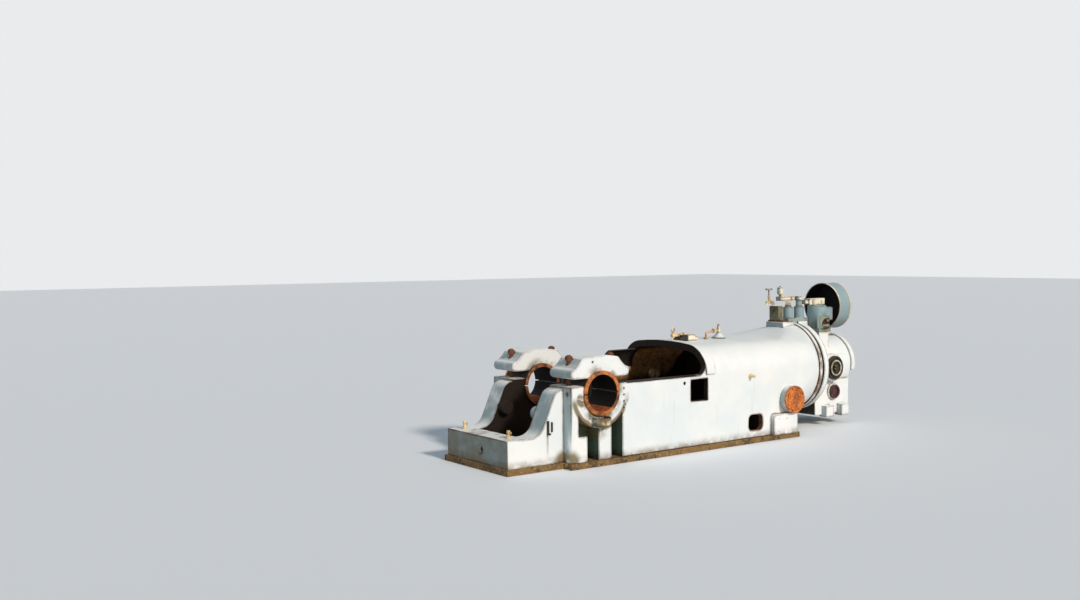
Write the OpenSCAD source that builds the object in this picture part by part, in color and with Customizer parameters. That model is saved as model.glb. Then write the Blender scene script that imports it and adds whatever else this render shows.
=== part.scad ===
// Horizontal single-cylinder engine, stripped of its crankshaft, flywheels and piston.
// X runs along the cylinder axis with the cylinder head at +X, and Z is up.
// The near side, which carries the water flange, is at -Y.
// The origin is on the sole, under the crankshaft axis and on the centre line.
// All sizes are in millimetres.

/* [Bed] */
// Height of the crankshaft and cylinder axis above the sole
axis_h = 400; // [385:5:430]
// Distance from the crankshaft axis to the front end of the bed
front_reach = 570; // [560:5:640]
// Distance from the crankshaft axis to the back end of the bed
back_reach = 1580; // [1560:5:1640]
// Half width over the low side walls at the front
front_half_w = 302; // [280:2:320]
// Half width over the pedestals and the rear walls
rear_half_w = 374; // [360:2:400]
// Half width of the crank pit
pit_half_w = 180; // [170:2:190]
// Thickness of the sole
sole_t = 32; // [24:1:40]
// How far the sole stands out past the walls
sole_lip = 14; // [8:1:24]
// Height of the front ledge
ledge_h = 182; // [160:2:200]
// Length of the front ledge
ledge_l = 134; // [110:2:150]
// Thickness of the front end wall and of the ledge
ledge_t = 28; // [20:1:36]
// Height of the top of the pedestals and rear walls above the axis
deck_rise = 45; // [36:1:56]
// Thickness of the rim along the top of the rear walls
deck_t = 25; // [18:1:32]
// Thickness of the rear walls and of the housing over them
wall_t = 36; // [28:1:42]
// Width of the rim along the top of the rear walls
rim_w = 70; // [55:1:90]

/* [Pedestals] */
// Distance from the crankshaft axis to the front face of a pedestal
ped_front = 205; // [198:1:214]
// Distance from the crankshaft axis to the back face of a pedestal
ped_back = 185; // [180:1:200]
// Depth of the pockets in the side of a pedestal
pocket_d = 100; // [60:2:120]
// Width of a pocket
pocket_w = 77; // [66:1:86]
// Width of the rib between the two pockets
rib_w = 92; // [80:1:96]
// Radius of the round boss under the bearing
boss_r = 192; // [180:1:200]

/* [Main bearings] */
// Bore radius of the main bearings
bearing_r = 103; // [95:1:106]
// Thickness of a bearing shell
shell_t = 14; // [12:1:16]
// How far the collar of a shell stands out past its wall, outward and sideways
collar = 14; // [8:1:18]
// Extra radius of the collar over the shell
collar_r = 7; // [4:1:9]
// Gap between the upper and the lower shell
shell_gap = 7; // [2:1:12]
// Height of the cap's underside above the deck
cap_lift = 40; // [30:1:48]
// Half length of a cap over its ears
cap_half_l = 206; // [196:1:214]
// Thickness of the ears of a cap
ear_t = 56; // [48:1:64]
// Height of the crown of a cap above its underside
cap_h = 122; // [112:1:130]
// Distance of the cap studs from the crankshaft axis
stud_x = 146; // [142:1:152]
// Radius of the cap studs
stud_r = 13; // [10:1:15]

/* [Housing and cylinder] */
// Where the mouth of the housing stands, behind the crankshaft axis
mouth_x = 795; // [770:5:830]
// Height of the housing's crown above the axis
crown_rise = 222; // [212:1:240]
// Radius of the housing's shoulders
shoulder_r = 165; // [150:1:180]
// Radius of the shallow arch of the crown
crown_r = 2000; // [1500:50:4000]
// Width of the raised band round the mouth
band_w = 74; // [60:2:90]
// Height of the raised band
band_h = 6; // [3:0.5:9]
// Radius of the fillets at the foot of the mouth
mouth_fillet = 60; // [30:2:80]
// Length of the barrel from the back of the bed to the joint with the head
barrel_l = 345; // [330:5:370]
// Length over which the barrel keeps the housing's outline
barrel_straight_l = 200; // [170:5:220]
// Thickness of the barrel's end flange
end_flange_t = 28; // [20:1:45]
// Outer radius of the end flanges
jacket_r = 296; // [286:1:306]
// Radius of the barrel where it meets the end flange
barrel_r = 286; // [276:1:292]
// Cylinder bore radius
bore_r = 150; // [140:1:156]
// Thickness of the cylinder liner
liner_t = 18; // [12:1:22]
// Length of the water space inside the bed
water_l = 280; // [250:5:290]
// Thickness of the walls of the water space
bulkhead_t = 28; // [20:1:34]
// Length of the flat valve pad in front of the joint
pad_l = 138; // [125:1:155]
// Height of the flat valve pad above the cylinder axis
pad_h = 298; // [296:1:310]
// Half width of the valve pad
pad_half_w = 73; // [66:1:84]

/* [Side flange] */
// Distance of the side flange from the back of the bed
side_inset = 75; // [70:5:95]
// Distance of the side flange's centre below the axis
side_drop = 154; // [146:1:160]
// Radius of the side flange
side_r = 85; // [76:1:92]
// How far the side flange stands out from the wall
side_out = 58; // [45:1:70]

/* [Cylinder head] */
// Width of the joint groove between jacket and head
joint_w = 15; // [10:1:20]
// Thickness of the head's flange
head_flange_t = 45; // [38:1:56]
// Radius of the head's body
head_r = 194; // [186:1:198]
// Length of the head's body
head_l = 345; // [330:5:360]
// Radius of the end cover
cover_r = 201; // [198:1:208]
// Thickness of the end cover
cover_t = 40; // [30:1:46]
// Half width of the head's lower box
chest_half_w = 165; // [155:1:175]
// Height of the underside of the head's lower box
chest_z = 70; // [64:1:90]

/* [Valve gear] */
// Radius of the two valve cages
cage_r = 33; // [28:1:37]
// Height of the valve cages
cage_h = 98; // [88:1:104]
// Distance between the two valve cages
cage_gap = 105; // [98:1:110]
// Outer radius of the air drum
drum_r = 157; // [145:1:165]
// Length of the air drum
drum_l = 124; // [110:1:135]
// Wall of the air drum
drum_t = 6; // [4:0.5:9]

/* [Splash guard] */
// Where the splash guard begins, behind the crankshaft axis
guard_x = 577; // [520:5:640]
// Thickness of the splash guard
guard_t = 8; // [5:1:12]
// How far the splash guard is bent over, in degrees
guard_turn = 66; // [50:1:75]

/* [Hidden] */
$fn = 64;
// Clearance of pieces that fit into each other
fit = 0.3;
// Heights of the deck and of the housing's crown
deck_h = axis_h + deck_rise;
housing_top = axis_h + crown_rise;
// Front of the bed, front end of the crank pit and ends of the pedestals
front_x = -front_reach;
pit_x = front_x + ledge_l;
ped_x0 = -ped_front;
ped_x1 = ped_back;
// Radius of the bearing seat in the pedestals and the caps
seat_r = bearing_r + shell_t + fit;
// Height of the caps' underside and of their crown
cap_z = deck_h + cap_lift;
cap_top = cap_z + cap_h;
stud_y = -(pit_half_w + rear_half_w) / 2;
stud_foot_z = deck_h - 145;
// Depth of the nuts' seats below the crown of a cap
nut_drop = 26;
// Centres of the housing's shoulders, as a distance from the middle and a height
shoulder_y = rear_half_w - shoulder_r;
shoulder_z = housing_top - crown_r + sqrt(pow(crown_r - shoulder_r, 2) - pow(shoulder_y, 2));
crown_turn = asin(shoulder_y / (crown_r - shoulder_r));
// Length of the barrel and of its end flange, and the underside of the barrel
joint_x = back_reach + barrel_l;
end_flange_x = joint_x - end_flange_t;
barrel_x = back_reach + barrel_straight_l;
barrel_low_z = axis_h - jacket_r;
pad_x = joint_x - pad_l;
// Ends of the head flange, the head and its cover
flange_x0 = joint_x + joint_w;
flange_x1 = flange_x0 + head_flange_t;
head_end = flange_x1 + head_l;
cover_end = head_end + cover_t;
rear_bulkhead_x = back_reach - bulkhead_t;
front_bulkhead_x = back_reach - water_l;
liner_r = bore_r + liner_t;
liner_mouth = 30;
pad_z = axis_h + pad_h;
// Ogee of the low side walls
ogee_low_r = 95;
ogee_high_r = 70;
ogee_slope = 66;
ogee_top = deck_h - 14;
// Windows and holes in the near rear wall, as places along the bed and heights
window_x = 671;
window_w = 138;
window_h = 126;
window_z = deck_h - 22 - window_h;
hand_x = 1151;
hand_w = 123;
hand_z = 75;
hand_h = 98;
hand_corner = 30;
// Foot lugs at the back of the bed
lug_w = 215;
lug_x = back_reach - 22 - lug_w;
lug_h = 128;
lug_out = 30;
// Plug and port on the near side of the head
plug_x = joint_x + 215;
plug_z = axis_h - 15;
plug_r = 80;
plug_out = 36;
port_x = plug_x + 36;
port_z = axis_h - 180;
port_r = 46;
port_out = 26;
// Underside of the end cover
cover_low_z = axis_h - 45;
// Valve gear
cage_x = joint_x - 41;
cage_y = -34;
bracket_x = pad_x + 13;
bracket_l = 44;
bar_z = pad_z + 139;
bar_t = 28;
inlet_x = joint_x + 168;
inlet_y = -100;
inlet_r = 62;
inlet_z = axis_h + 236;
inlet_h = 166;
// Air drum
drum_x = joint_x + 337;
drum_z = axis_h + 390;
neck_x = drum_x + 28;
neck_r = 36;
paint = "#c9d6da";
bare = "#8d7a5c";
bronze = "#b8702f";
rust = "#a5522a";
brass = "#b08a3c";
cream = "#ddd5bd";
iron = "#4a4640";

// Points of an arc from angle a0 to a1 in n steps
function arc(c, r, a0, a1, n) =
    [for (i = [0:n]) let (a = a0 + (a1 - a0) * i / n) c + r * [cos(a), sin(a)]];

// Extrudes an outline drawn in x and z from y0 to y1
module along_y(y0, y1) translate([0, y1, 0]) rotate([90, 0, 0]) linear_extrude(y1 - y0) children();

// Extrudes an outline drawn in y and z from x0 to x1
module along_x(x0, x1) translate([x0, 0, 0]) rotate([90, 0, 90]) linear_extrude(x1 - x0) children();

module disc_x(x0, x1, r, y = 0, z = axis_h)
    translate([x0, y, z]) rotate([0, 90, 0]) cylinder(r = r, h = x1 - x0);

module disc_y(y0, y1, r, x, z) translate([x, y1, z]) rotate([90, 0, 0]) cylinder(r = r, h = y1 - y0);

module block(x0, x1, y0, y1, z0, z1) translate([x0, y0, z0]) cube([x1 - x0, y1 - y0, z1 - z0]);

// Rectangle with round corners from two squares and four discs
module round_rect(x0, x1, z0, z1, r) {
    translate([x0 + r, z0]) square([x1 - x0 - 2 * r, z1 - z0]);
    translate([x0, z0 + r]) square([x1 - x0, z1 - z0 - 2 * r]);
    for (x = [x0 + r, x1 - r], z = [z0 + r, z1 - r]) translate([x, z]) circle(r);
}

module far_side() mirror([0, 1, 0]) children();

module sole_block(x0, x1, half_w) block(x0, x1, -half_w, half_w, 0, sole_t);

module sole() color(bare) difference() {
    union() {
        sole_block(front_x - sole_lip, ped_x0 - sole_lip, front_half_w + sole_lip);
        sole_block(ped_x0 - sole_lip, back_reach + sole_lip, rear_half_w + sole_lip);
    }
    // Notches for the holding-down bolts at the step of the sole
    for (s = [-1, 1])
        translate([ped_x0 - sole_lip, s * (rear_half_w - 22), -1]) cylinder(r = 16, h = sole_t + 2);
}

module front_ledge() color(paint) difference() {
    block(front_x, pit_x, -front_half_w, front_half_w, sole_t, ledge_h);
    block(front_x + ledge_t, pit_x + 1, -pit_half_w, pit_half_w, sole_t - 1, ledge_h - ledge_t);
    // Inspection hole in the front end
    disc_x(front_x - 1, front_x + ledge_t + 1, 24, -35, 106);
}

// Outline of a low side wall, with the ogee that climbs to the pedestal
module ogee_outline() {
    low = [ped_x0 - (ogee_low_r + ogee_high_r) * sin(ogee_slope)
           - (ogee_top - ledge_h - (ogee_low_r + ogee_high_r) * (1 - cos(ogee_slope))) / tan(ogee_slope),
           ledge_h + ogee_low_r];
    high = [ped_x0, ogee_top - ogee_high_r];
    polygon(concat(
        [[ped_x0, sole_t], [pit_x, sole_t], [pit_x, ledge_h]],
        arc(low, ogee_low_r, -90, ogee_slope - 90, 10),
        arc(high, ogee_high_r, 90 + ogee_slope, 90, 10)));
}

module side_wall() color(paint) {
    along_y(-front_half_w, -pit_half_w) ogee_outline();
    // Boss on the pit side of the ogee
    disc_y(-pit_half_w, -pit_half_w + 46, 38, ped_x0 - 64, ledge_h + 108);
}

// Pockets in the side of a pedestal, cut off above by the round boss
module pocket_outline() {
    rib_x = ped_x1 - 34 - pocket_w - rib_w;
    difference() {
        union() {
            translate([rib_x - pocket_w, sole_t]) square([pocket_w, axis_h]);
            translate([rib_x + rib_w, sole_t]) square([pocket_w, axis_h]);
            translate([rib_x - pocket_w - 60, sole_t + 140]) square([62, axis_h]);
        }
        translate([0, axis_h]) circle(boss_r);
        translate([-ped_front, axis_h]) square([2 * ped_front, axis_h]);
    }
}

module pedestal() color(paint) difference() {
    block(ped_x0, ped_x1, -rear_half_w, -pit_half_w, sole_t, deck_h);
    // Open seat of the bearing, round below and straight above
    disc_y(-rear_half_w - 1, -pit_half_w + 1, seat_r, 0, axis_h);
    block(-seat_r, seat_r, -rear_half_w - 1, -pit_half_w + 1, axis_h, deck_h + 1);
    along_y(-rear_half_w - 1, -rear_half_w + pocket_d) pocket_outline();
    // Stud holes, screw holes of the splash cover and the hole in the front face
    for (x = [-stud_x, stud_x])
        translate([x, stud_y, stud_foot_z]) cylinder(r = stud_r + fit, h = deck_rise + 200);
    for (i = [0:3]) disc_y(-rear_half_w - 1, -rear_half_w + 18, 4.5, ped_x1 - 20, axis_h + 15 - 36 * i);
    disc_x(ped_x0 - 1, ped_x0 + 40, 9, -rear_half_w + 36, deck_h - 40);
}

module rear_wall_blank() {
    block(ped_x1, back_reach, -rear_half_w, -rear_half_w + wall_t, sole_t, deck_h);
    block(ped_x1, mouth_x, -rear_half_w, -rear_half_w + rim_w, deck_h - deck_t, deck_h);
    // Foot lug
    along_y(-rear_half_w - lug_out, -rear_half_w) translate([lug_x, sole_t]) {
        square([lug_w, lug_h - 20]);
        translate([20, 0]) square([lug_w - 40, lug_h]);
        for (x = [20, lug_w - 20]) translate([x, lug_h - 20]) circle(20);
    }
}

module near_rear_wall() color(paint) difference() {
    rear_wall_blank();
    block(window_x, window_x + window_w, -rear_half_w - 1, -rear_half_w + rim_w + 1,
          window_z, window_z + window_h);
    along_y(-rear_half_w - 1, -rear_half_w + wall_t + 1)
        round_rect(hand_x, hand_x + hand_w, hand_z, hand_z + hand_h, hand_corner);
    disc_y(-rear_half_w - 1, -rear_half_w + 20, 6, window_x - 48, window_z + 110);
}

module far_rear_wall() color(paint) far_side() rear_wall_blank();

// Outline of the housing in y and z, set in by a wall's thickness, from a base upward
module arch_outline(inset, base) polygon(concat(
    [[rear_half_w - inset, base]],
    arc([shoulder_y, shoulder_z], shoulder_r - inset, 0, 90 - crown_turn, 10),
    arc([0, housing_top - crown_r], crown_r - inset, 90 - crown_turn, 90 + crown_turn, 6),
    arc([-shoulder_y, shoulder_z], shoulder_r - inset, 90 + crown_turn, 180, 10),
    [[-rear_half_w + inset, base]]));

module arch_shell(outer, inner) difference() {
    arch_outline(outer, axis_h);
    arch_outline(inner, axis_h - 1);
    translate([-2 * rear_half_w, 0]) square([4 * rear_half_w, deck_h]);
}

// The housing over the crosshead, as wide as the bed, open towards the crank
module housing() color(paint) {
    along_x(mouth_x, back_reach) arch_shell(0, wall_t);
    along_x(mouth_x, mouth_x + band_w) arch_shell(-band_h, 1);
    // Fillets at the foot of the mouth
    intersection() {
        along_x(mouth_x - mouth_fillet, mouth_x) arch_shell(0, wall_t);
        along_y(-rear_half_w, rear_half_w) difference() {
            translate([mouth_x - mouth_fillet, deck_h]) square(mouth_fillet);
            translate([mouth_x - mouth_fillet, deck_h + mouth_fillet]) circle(mouth_fillet);
        }
    }
}

// Cross wall of the water space, with the hole that holds the liner
module bulkhead(x0) along_x(x0, x0 + bulkhead_t) difference() {
    arch_outline(wall_t, sole_t);
    translate([0, axis_h]) circle(liner_r + fit);
}

module water_front_wall() color(paint) bulkhead(front_bulkhead_x);

module water_rear_wall() color(paint) bulkhead(rear_bulkhead_x);

// Half of the barrel's round end, above or below the cylinder axis
module barrel_end(upper) difference() {
    disc_x(end_flange_x - 1, end_flange_x, barrel_r, $fn = 48);
    block(end_flange_x - 2, end_flange_x + 1, -jacket_r, jacket_r,
          upper ? 0 : axis_h, upper ? axis_h : 2 * axis_h);
}

// The barrel is as wide as the housing in front and round at its end flange
module cylinder_jacket() color(paint) difference() {
    union() {
        hull() {
            along_x(back_reach, barrel_x) arch_outline(0, axis_h);
            barrel_end(true);
        }
        hull() {
            block(back_reach, barrel_x, -rear_half_w, rear_half_w, axis_h - 1, axis_h);
            for (s = [-1, 1])
                disc_x(back_reach, back_reach + 1, shoulder_r, s * shoulder_y, barrel_low_z + shoulder_r,
                       $fn = 40);
            barrel_end(false);
        }
        disc_x(end_flange_x, joint_x, jacket_r);
        block(pad_x, joint_x, -pad_half_w, pad_half_w, axis_h + liner_r + 20, pad_z);
    }
    disc_x(back_reach - 1, joint_x + 1, liner_r + fit);
}

module cylinder_liner() color(iron) difference() {
    disc_x(front_bulkhead_x - liner_mouth, joint_x, liner_r);
    disc_x(front_bulkhead_x - liner_mouth - 1, joint_x + 1, bore_r);
}

// Outline of a bearing cap: two ears with round ends under a crowned hump
module cap_outline() {
    ear_r = ear_t / 2;
    hump = stud_x + 4;
    arch_r = 600;
    arch_turn = asin((hump - 22) / arch_r);
    difference() {
        polygon(concat(
            arc([-cap_half_l + ear_r, cap_z + ear_r], ear_r, 270, 90, 10),
            [[-hump, cap_z + ear_t + 24]],
            arc([0, cap_top - arch_r], arch_r, 90 + arch_turn, 90 - arch_turn, 12),
            [[hump, cap_z + ear_t + 24]],
            arc([cap_half_l - ear_r, cap_z + ear_r], ear_r, 90, -90, 10)));
        translate([0, axis_h]) circle(seat_r);
    }
}

module bearing_cap() color(paint) difference() {
    along_y(-rear_half_w + fit, -pit_half_w - fit) cap_outline();
    for (x = [-stud_x, stud_x]) translate([x, stud_y, cap_z - 1]) {
        cylinder(r = stud_r + 1, h = cap_h + 20);
        translate([0, 0, cap_h - nut_drop]) cylinder(r = stud_r + 12, h = cap_h);
    }
}

// One half of a bearing shell with its two collars; upper picks the half
module shell_half(upper) {
    shell_r = bearing_r + shell_t;
    difference() {
        union() {
            disc_y(-rear_half_w - collar, -pit_half_w + collar, shell_r, 0, axis_h);
            disc_y(-rear_half_w - collar, -rear_half_w, shell_r + collar_r, 0, axis_h);
            disc_y(-pit_half_w, -pit_half_w + collar, shell_r + collar_r, 0, axis_h);
        }
        disc_y(-rear_half_w - collar - 1, -pit_half_w + collar + 1, bearing_r, 0, axis_h);
        cut_z = upper ? axis_h - 2 * shell_r + shell_gap / 2 : axis_h - shell_gap / 2;
        translate([-2 * shell_r, -2 * rear_half_w, cut_z]) cube([4 * shell_r, 2 * rear_half_w, 2 * shell_r]);
    }
}

module upper_shell() color(bronze) shell_half(true);

module lower_shell() color(bronze) shell_half(false);

module cap_studs() color(rust) for (x = [-stud_x, stud_x]) translate([x, stud_y, 0]) {
    translate([0, 0, stud_foot_z]) cylinder(r = stud_r, h = cap_top + 4 - stud_foot_z);
    translate([0, 0, cap_top - nut_drop - 1]) cylinder(r = stud_r + 9, h = 27, $fn = 6);
}

// Catcher for the oil that drips from a main bearing
module oil_catcher() color(paint) {
    top = axis_h - bearing_r - shell_t - collar_r - 4;
    difference() {
        translate([-16, -rear_half_w - 26, top - 54]) cylinder(r = 52, h = 54);
        translate([-16, -rear_half_w - 26, top - 44]) cylinder(r = 44, h = 50);
        block(-80, 60, -rear_half_w, -rear_half_w + 60, top - 60, top + 1);
    }
}

module ledge_cocks() color(brass) for (side = [-1, 1])
    translate([front_x + ledge_l / 2 - 3, (front_half_w - 84) * side, ledge_h]) {
    cylinder(r = 16, h = 10, $fn = 6);
    cylinder(r = 11, h = 44);
    translate([0, 0, 26]) rotate([0, 90, 30]) cylinder(r = 8, h = 26);
}

module near_wall_hook() color(rust) translate([ped_x0 - 112, -front_half_w, ledge_h + 10]) {
    translate([0, -10, 0]) cube([12, 10, 76]);
    translate([0, -24, 0]) cube([12, 16, 12]);
    translate([28, -10, 14]) cube([8, 10, 54]);
}

// Curved guard on the far wall in front of the mouth, laid against the inside of the housing
module splash_guard() color(iron) along_x(guard_x, mouth_x + 30) difference() {
    guard_r = shoulder_r - wall_t - 2 * fit;
    translate([shoulder_y, shoulder_z]) circle(guard_r);
    translate([shoulder_y, shoulder_z]) circle(guard_r - guard_t);
    square([2 * rear_half_w, deck_h]);
    translate([shoulder_y, shoulder_z]) rotate(guard_turn)
        translate([-crown_r, 0]) square([2 * crown_r, crown_r]);
}

module lever_bush() color(brass)
    disc_y(rear_half_w - wall_t - 34, rear_half_w - wall_t, 38, mouth_x + 217, axis_h - 17);

module side_flange() color(rust) {
    x = back_reach - side_inset;
    z = axis_h - side_drop;
    face_y = -rear_half_w - side_out;
    disc_y(face_y, face_y + 16, side_r, x, z);
    disc_y(face_y + 16, -rear_half_w, side_r - 4, x, z);
}

module side_plug() color(brass) translate([back_reach - 417, -rear_half_w, deck_h - 32]) rotate([90, 0, 0]) {
    cylinder(r = 15, h = 12, $fn = 6);
    cylinder(r = 9, h = 40);
}

module head_flange() color(paint) difference() {
    union() {
        disc_x(joint_x, flange_x0, jacket_r - 28);
        disc_x(flange_x0, flange_x1, jacket_r);
        block(flange_x0, cage_x + cage_gap + cage_r + 14, -pad_half_w, pad_half_w,
              axis_h + head_r + 40, pad_z);
    }
    disc_x(joint_x - 1, flange_x0 + 20, bore_r - 6);
}

module head_body() color(paint) {
    difference() {
        union() {
            disc_x(flange_x1, flange_x1 + 16, head_r - 14);
            disc_x(flange_x1 + 16, head_end, head_r);
            block(flange_x1 + 16, head_end, -chest_half_w, chest_half_w, chest_z, axis_h);
            block(head_end - 1, head_end + 14, -chest_half_w, chest_half_w, chest_z, cover_low_z - fit);
            disc_y(-head_r - 12, 0, plug_r + 14, plug_x, plug_z);
            disc_y(-chest_half_w - 10, 0, port_r + 10, port_x, port_z);
            // Neck under the inlet body
            block(inlet_x - 36, inlet_x + 62, inlet_y - 50, inlet_y + 60, axis_h, inlet_z - 12);
            // Neck of the air drum
            translate([neck_x, 0, axis_h]) cylinder(r = neck_r, h = drum_z - drum_r + 20 - axis_h);
            // Foot lugs
            for (x = [flange_x1 + 80, head_end - 108])
                block(x, x + 76, -chest_half_w - 42, -chest_half_w + 20, chest_z - 14, chest_z + 62);
        }
        disc_x(drum_x - 40, drum_x + drum_l + 40, drum_r, 0, drum_z);
    }
}

// End cover, round above and cut off flat below
module head_cover() color(paint) difference() {
    union() {
        disc_x(head_end, cover_end, cover_r);
        disc_x(cover_end, cover_end + 12, cover_r - 40);
    }
    block(head_end - 1, cover_end + 13, -cover_r - 1, cover_r + 1, 0, cover_low_z);
}

module ringed_plug() color(iron) translate([plug_x, -head_r - 12, plug_z]) rotate([90, 0, 0]) {
    difference() {
        cylinder(r = plug_r, h = 16);
        translate([0, 0, 8]) cylinder(r = plug_r - 14, h = 20);
    }
    difference() {
        cylinder(r = plug_r - 26, h = 24);
        translate([0, 0, 12]) cylinder(r = plug_r - 38, h = 20);
    }
    cylinder(r = 24, h = plug_out - 6, $fn = 6);
}

module igniter_port() color(rust)
    translate([port_x, -chest_half_w - 10, port_z]) rotate([90, 0, 0]) difference() {
    cylinder(r = port_r, h = port_out - 8);
    translate([0, 0, 4]) cylinder(r = port_r - 12, h = port_out);
}

module pad_plate() color(rust)
    block(pad_x + 10, cage_x - cage_r - 12, -pad_half_w + 6, pad_half_w - 6, pad_z, pad_z + 10);

module valve_bracket() color(bare) {
    block(bracket_x, bracket_x + bracket_l, -40, 40, pad_z + 10, pad_z + 24);
    block(bracket_x, bracket_x + bracket_l, -24, 56, pad_z + 10, pad_z + 104);
}

// Two valve cages on one base plate; the second one carries the front rocker bar
module valve_cages() color(paint) {
    block(cage_x - cage_r - 5, cage_x + cage_gap + cage_r + 8, cage_y - cage_r - 4, cage_y + cage_r + 10,
          pad_z, pad_z + 22);
    for (i = [0, 1]) translate([cage_x + cage_gap * i, cage_y, pad_z]) {
        cylinder(r = cage_r, h = cage_h);
        translate([0, 0, cage_h]) cylinder(r = cage_r - 12, h = i == 0 ? 14 : bar_z - pad_z - cage_h);
    }
}

// Round inlet body and its collar, which has an arched port that faces the near side
module inlet_body() color(paint) difference() {
    union() {
        block(inlet_x - 40, inlet_x + 76, inlet_y - 56, inlet_y + 64, inlet_z - 12, inlet_z + 14);
        translate([inlet_x + 12, inlet_y - 28, inlet_z + 14]) cylinder(r = 54, h = 82);
        translate([inlet_x, inlet_y, inlet_z + 14]) cylinder(r = inlet_r, h = inlet_h - 14);
        block(inlet_x + 30, drum_x - 12, inlet_y - 6, inlet_y + 70, inlet_z + 62, inlet_z + 150);
    }
    along_y(inlet_y - 90, inlet_y - 46) difference() {
        translate([inlet_x + 12, inlet_z + 44]) circle(38);
        translate([inlet_x - 40, 0]) square([104, inlet_z + 44]);
    }
}

module front_rocker_bar() color(cream) {
    block(cage_x - 64, cage_x + cage_gap + 14, -20, 18, bar_z, bar_z + bar_t);
    translate([cage_x + cage_gap, cage_y, bar_z]) cylinder(r = cage_r - 12, h = bar_t);
}

module rear_rocker_bar() color(cream) {
    z = inlet_z + inlet_h;
    block(inlet_x - 40, inlet_x + 118, inlet_y + 30, inlet_y + 76, z, z + 44);
    block(inlet_x - 74, inlet_x - 40, inlet_y + 38, inlet_y + 68, z + 8, z + 36);
}

module indicator_cock() color(brass) translate([bracket_x + 20, 42, pad_z + 104]) {
    cylinder(r = 10, h = 34);
    translate([-66, 0, 26]) rotate([0, 90, 0]) cylinder(r = 8, h = 72);
    translate([-60, 0, 10]) cylinder(r = 9, h = 22);
    translate([-38, 0, 22]) cylinder(r = 10, h = 88);
    translate([-66, 0, 112]) rotate([0, 90, 0]) cylinder(r = 7, h = 58);
}

module oil_cup() color(cream) translate([cage_x - 43, -1, bar_z + bar_t]) {
    cylinder(r = 10, h = 12);
    translate([0, 0, 12]) cylinder(r = 20, h = 46);
    translate([0, 0, 58]) cylinder(r = 6, h = 12);
}

module air_drum() color(paint) translate([drum_x, 0, drum_z]) rotate([0, 90, 0]) difference() {
    cylinder(r = drum_r, h = drum_l);
    translate([0, 0, -1]) cylinder(r = drum_r - drum_t, h = drum_l - drum_t + 1);
}

// Sight lubricator and its plate on the crown, just behind the band of the mouth
module crown_lubricator() color(brass) translate([mouth_x + band_w + 2, -50, housing_top]) {
    block(0, 150, -34, 34, 0, 24);
    block(16, 130, -24, 24, 23, 38);
    translate([-44, 0, 34]) rotate([0, 90, 0]) cylinder(r = 13, h = 90);
    translate([-34, 0, 20]) cylinder(r = 10, h = 42);
    translate([-34, 7, 70]) rotate([90, 0, 0]) difference() {
        cylinder(r = 17, h = 14);
        translate([0, 0, -1]) cylinder(r = 9, h = 16);
    }
}

// Bent pipe and valve that stand on a boss of the crown
module feed_pipe() color(brass) translate([mouth_x + 315, -50, housing_top]) {
    cylinder(r = 14, h = 10);
    cylinder(r = 8, h = 44);
    translate([-8, 0, 40]) rotate([0, 90, 0]) cylinder(r = 8, h = 112);
    translate([110, 0, 0]) cylinder(r1 = 46, r2 = 14, h = 34);
    translate([110, 0, 30]) cylinder(r = 13, h = 46);
    translate([110, 0, 76]) cylinder(r = 7, h = 14);
}

sole();
front_ledge();
side_wall();  // near_side_wall
far_side() side_wall();  // far_side_wall
pedestal();  // near_pedestal
far_side() pedestal();  // far_pedestal
near_rear_wall();
far_rear_wall();
housing();
water_front_wall();
water_rear_wall();
cylinder_jacket();
cylinder_liner();
bearing_cap();  // near_bearing_cap
far_side() bearing_cap();  // far_bearing_cap
upper_shell();  // near_upper_shell
far_side() upper_shell();  // far_upper_shell
lower_shell();  // near_lower_shell
far_side() lower_shell();  // far_lower_shell
cap_studs();  // near_cap_studs
far_side() cap_studs();  // far_cap_studs
oil_catcher();  // near_oil_catcher
far_side() oil_catcher();  // far_oil_catcher
ledge_cocks();
near_wall_hook();
splash_guard();
lever_bush();
side_flange();
side_plug();
head_flange();
head_body();
head_cover();
ringed_plug();
igniter_port();
pad_plate();
valve_bracket();
valve_cages();
inlet_body();
front_rocker_bar();
rear_rocker_bar();
indicator_cock();
oil_cup();
air_drum();
crown_lubricator();
feed_pipe();
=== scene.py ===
"""Looks of a horizontal stationary engine that has lost its crankshaft, flywheels and piston.

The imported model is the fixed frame, in metres: X runs along the cylinder towards the head,
the near side with the water flange is at -Y, and Z is up from the sole. The castings are
copied from the frame, joined where the real engine is one casting, and rounded at their
edges. Nuts, studs, fittings and small parts are built here in full.
"""

import logging
import math
from dataclasses import dataclass
from enum import Enum
from functools import cached_property, lru_cache
from typing import Callable, Iterable, Optional, Sequence, Union

import bmesh
import bpy
from mathutils import Matrix, Vector
from mathutils.kdtree import KDTree


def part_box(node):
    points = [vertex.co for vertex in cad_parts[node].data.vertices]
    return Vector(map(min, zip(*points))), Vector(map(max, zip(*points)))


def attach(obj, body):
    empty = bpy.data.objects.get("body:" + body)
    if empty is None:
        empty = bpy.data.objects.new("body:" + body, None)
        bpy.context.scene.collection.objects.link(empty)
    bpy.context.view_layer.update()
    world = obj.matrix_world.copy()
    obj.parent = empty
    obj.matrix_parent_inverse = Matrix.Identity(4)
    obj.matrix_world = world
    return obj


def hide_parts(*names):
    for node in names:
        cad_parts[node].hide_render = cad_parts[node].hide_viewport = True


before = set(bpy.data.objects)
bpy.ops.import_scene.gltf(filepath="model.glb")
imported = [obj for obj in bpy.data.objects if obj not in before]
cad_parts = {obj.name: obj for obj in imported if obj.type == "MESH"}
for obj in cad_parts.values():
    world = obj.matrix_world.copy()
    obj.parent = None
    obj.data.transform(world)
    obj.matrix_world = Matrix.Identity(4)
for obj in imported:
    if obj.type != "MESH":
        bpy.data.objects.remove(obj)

LOG = logging.getLogger("engine")
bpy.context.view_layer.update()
ROOT = "root"
FULL_TURN = 2 * math.pi

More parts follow.
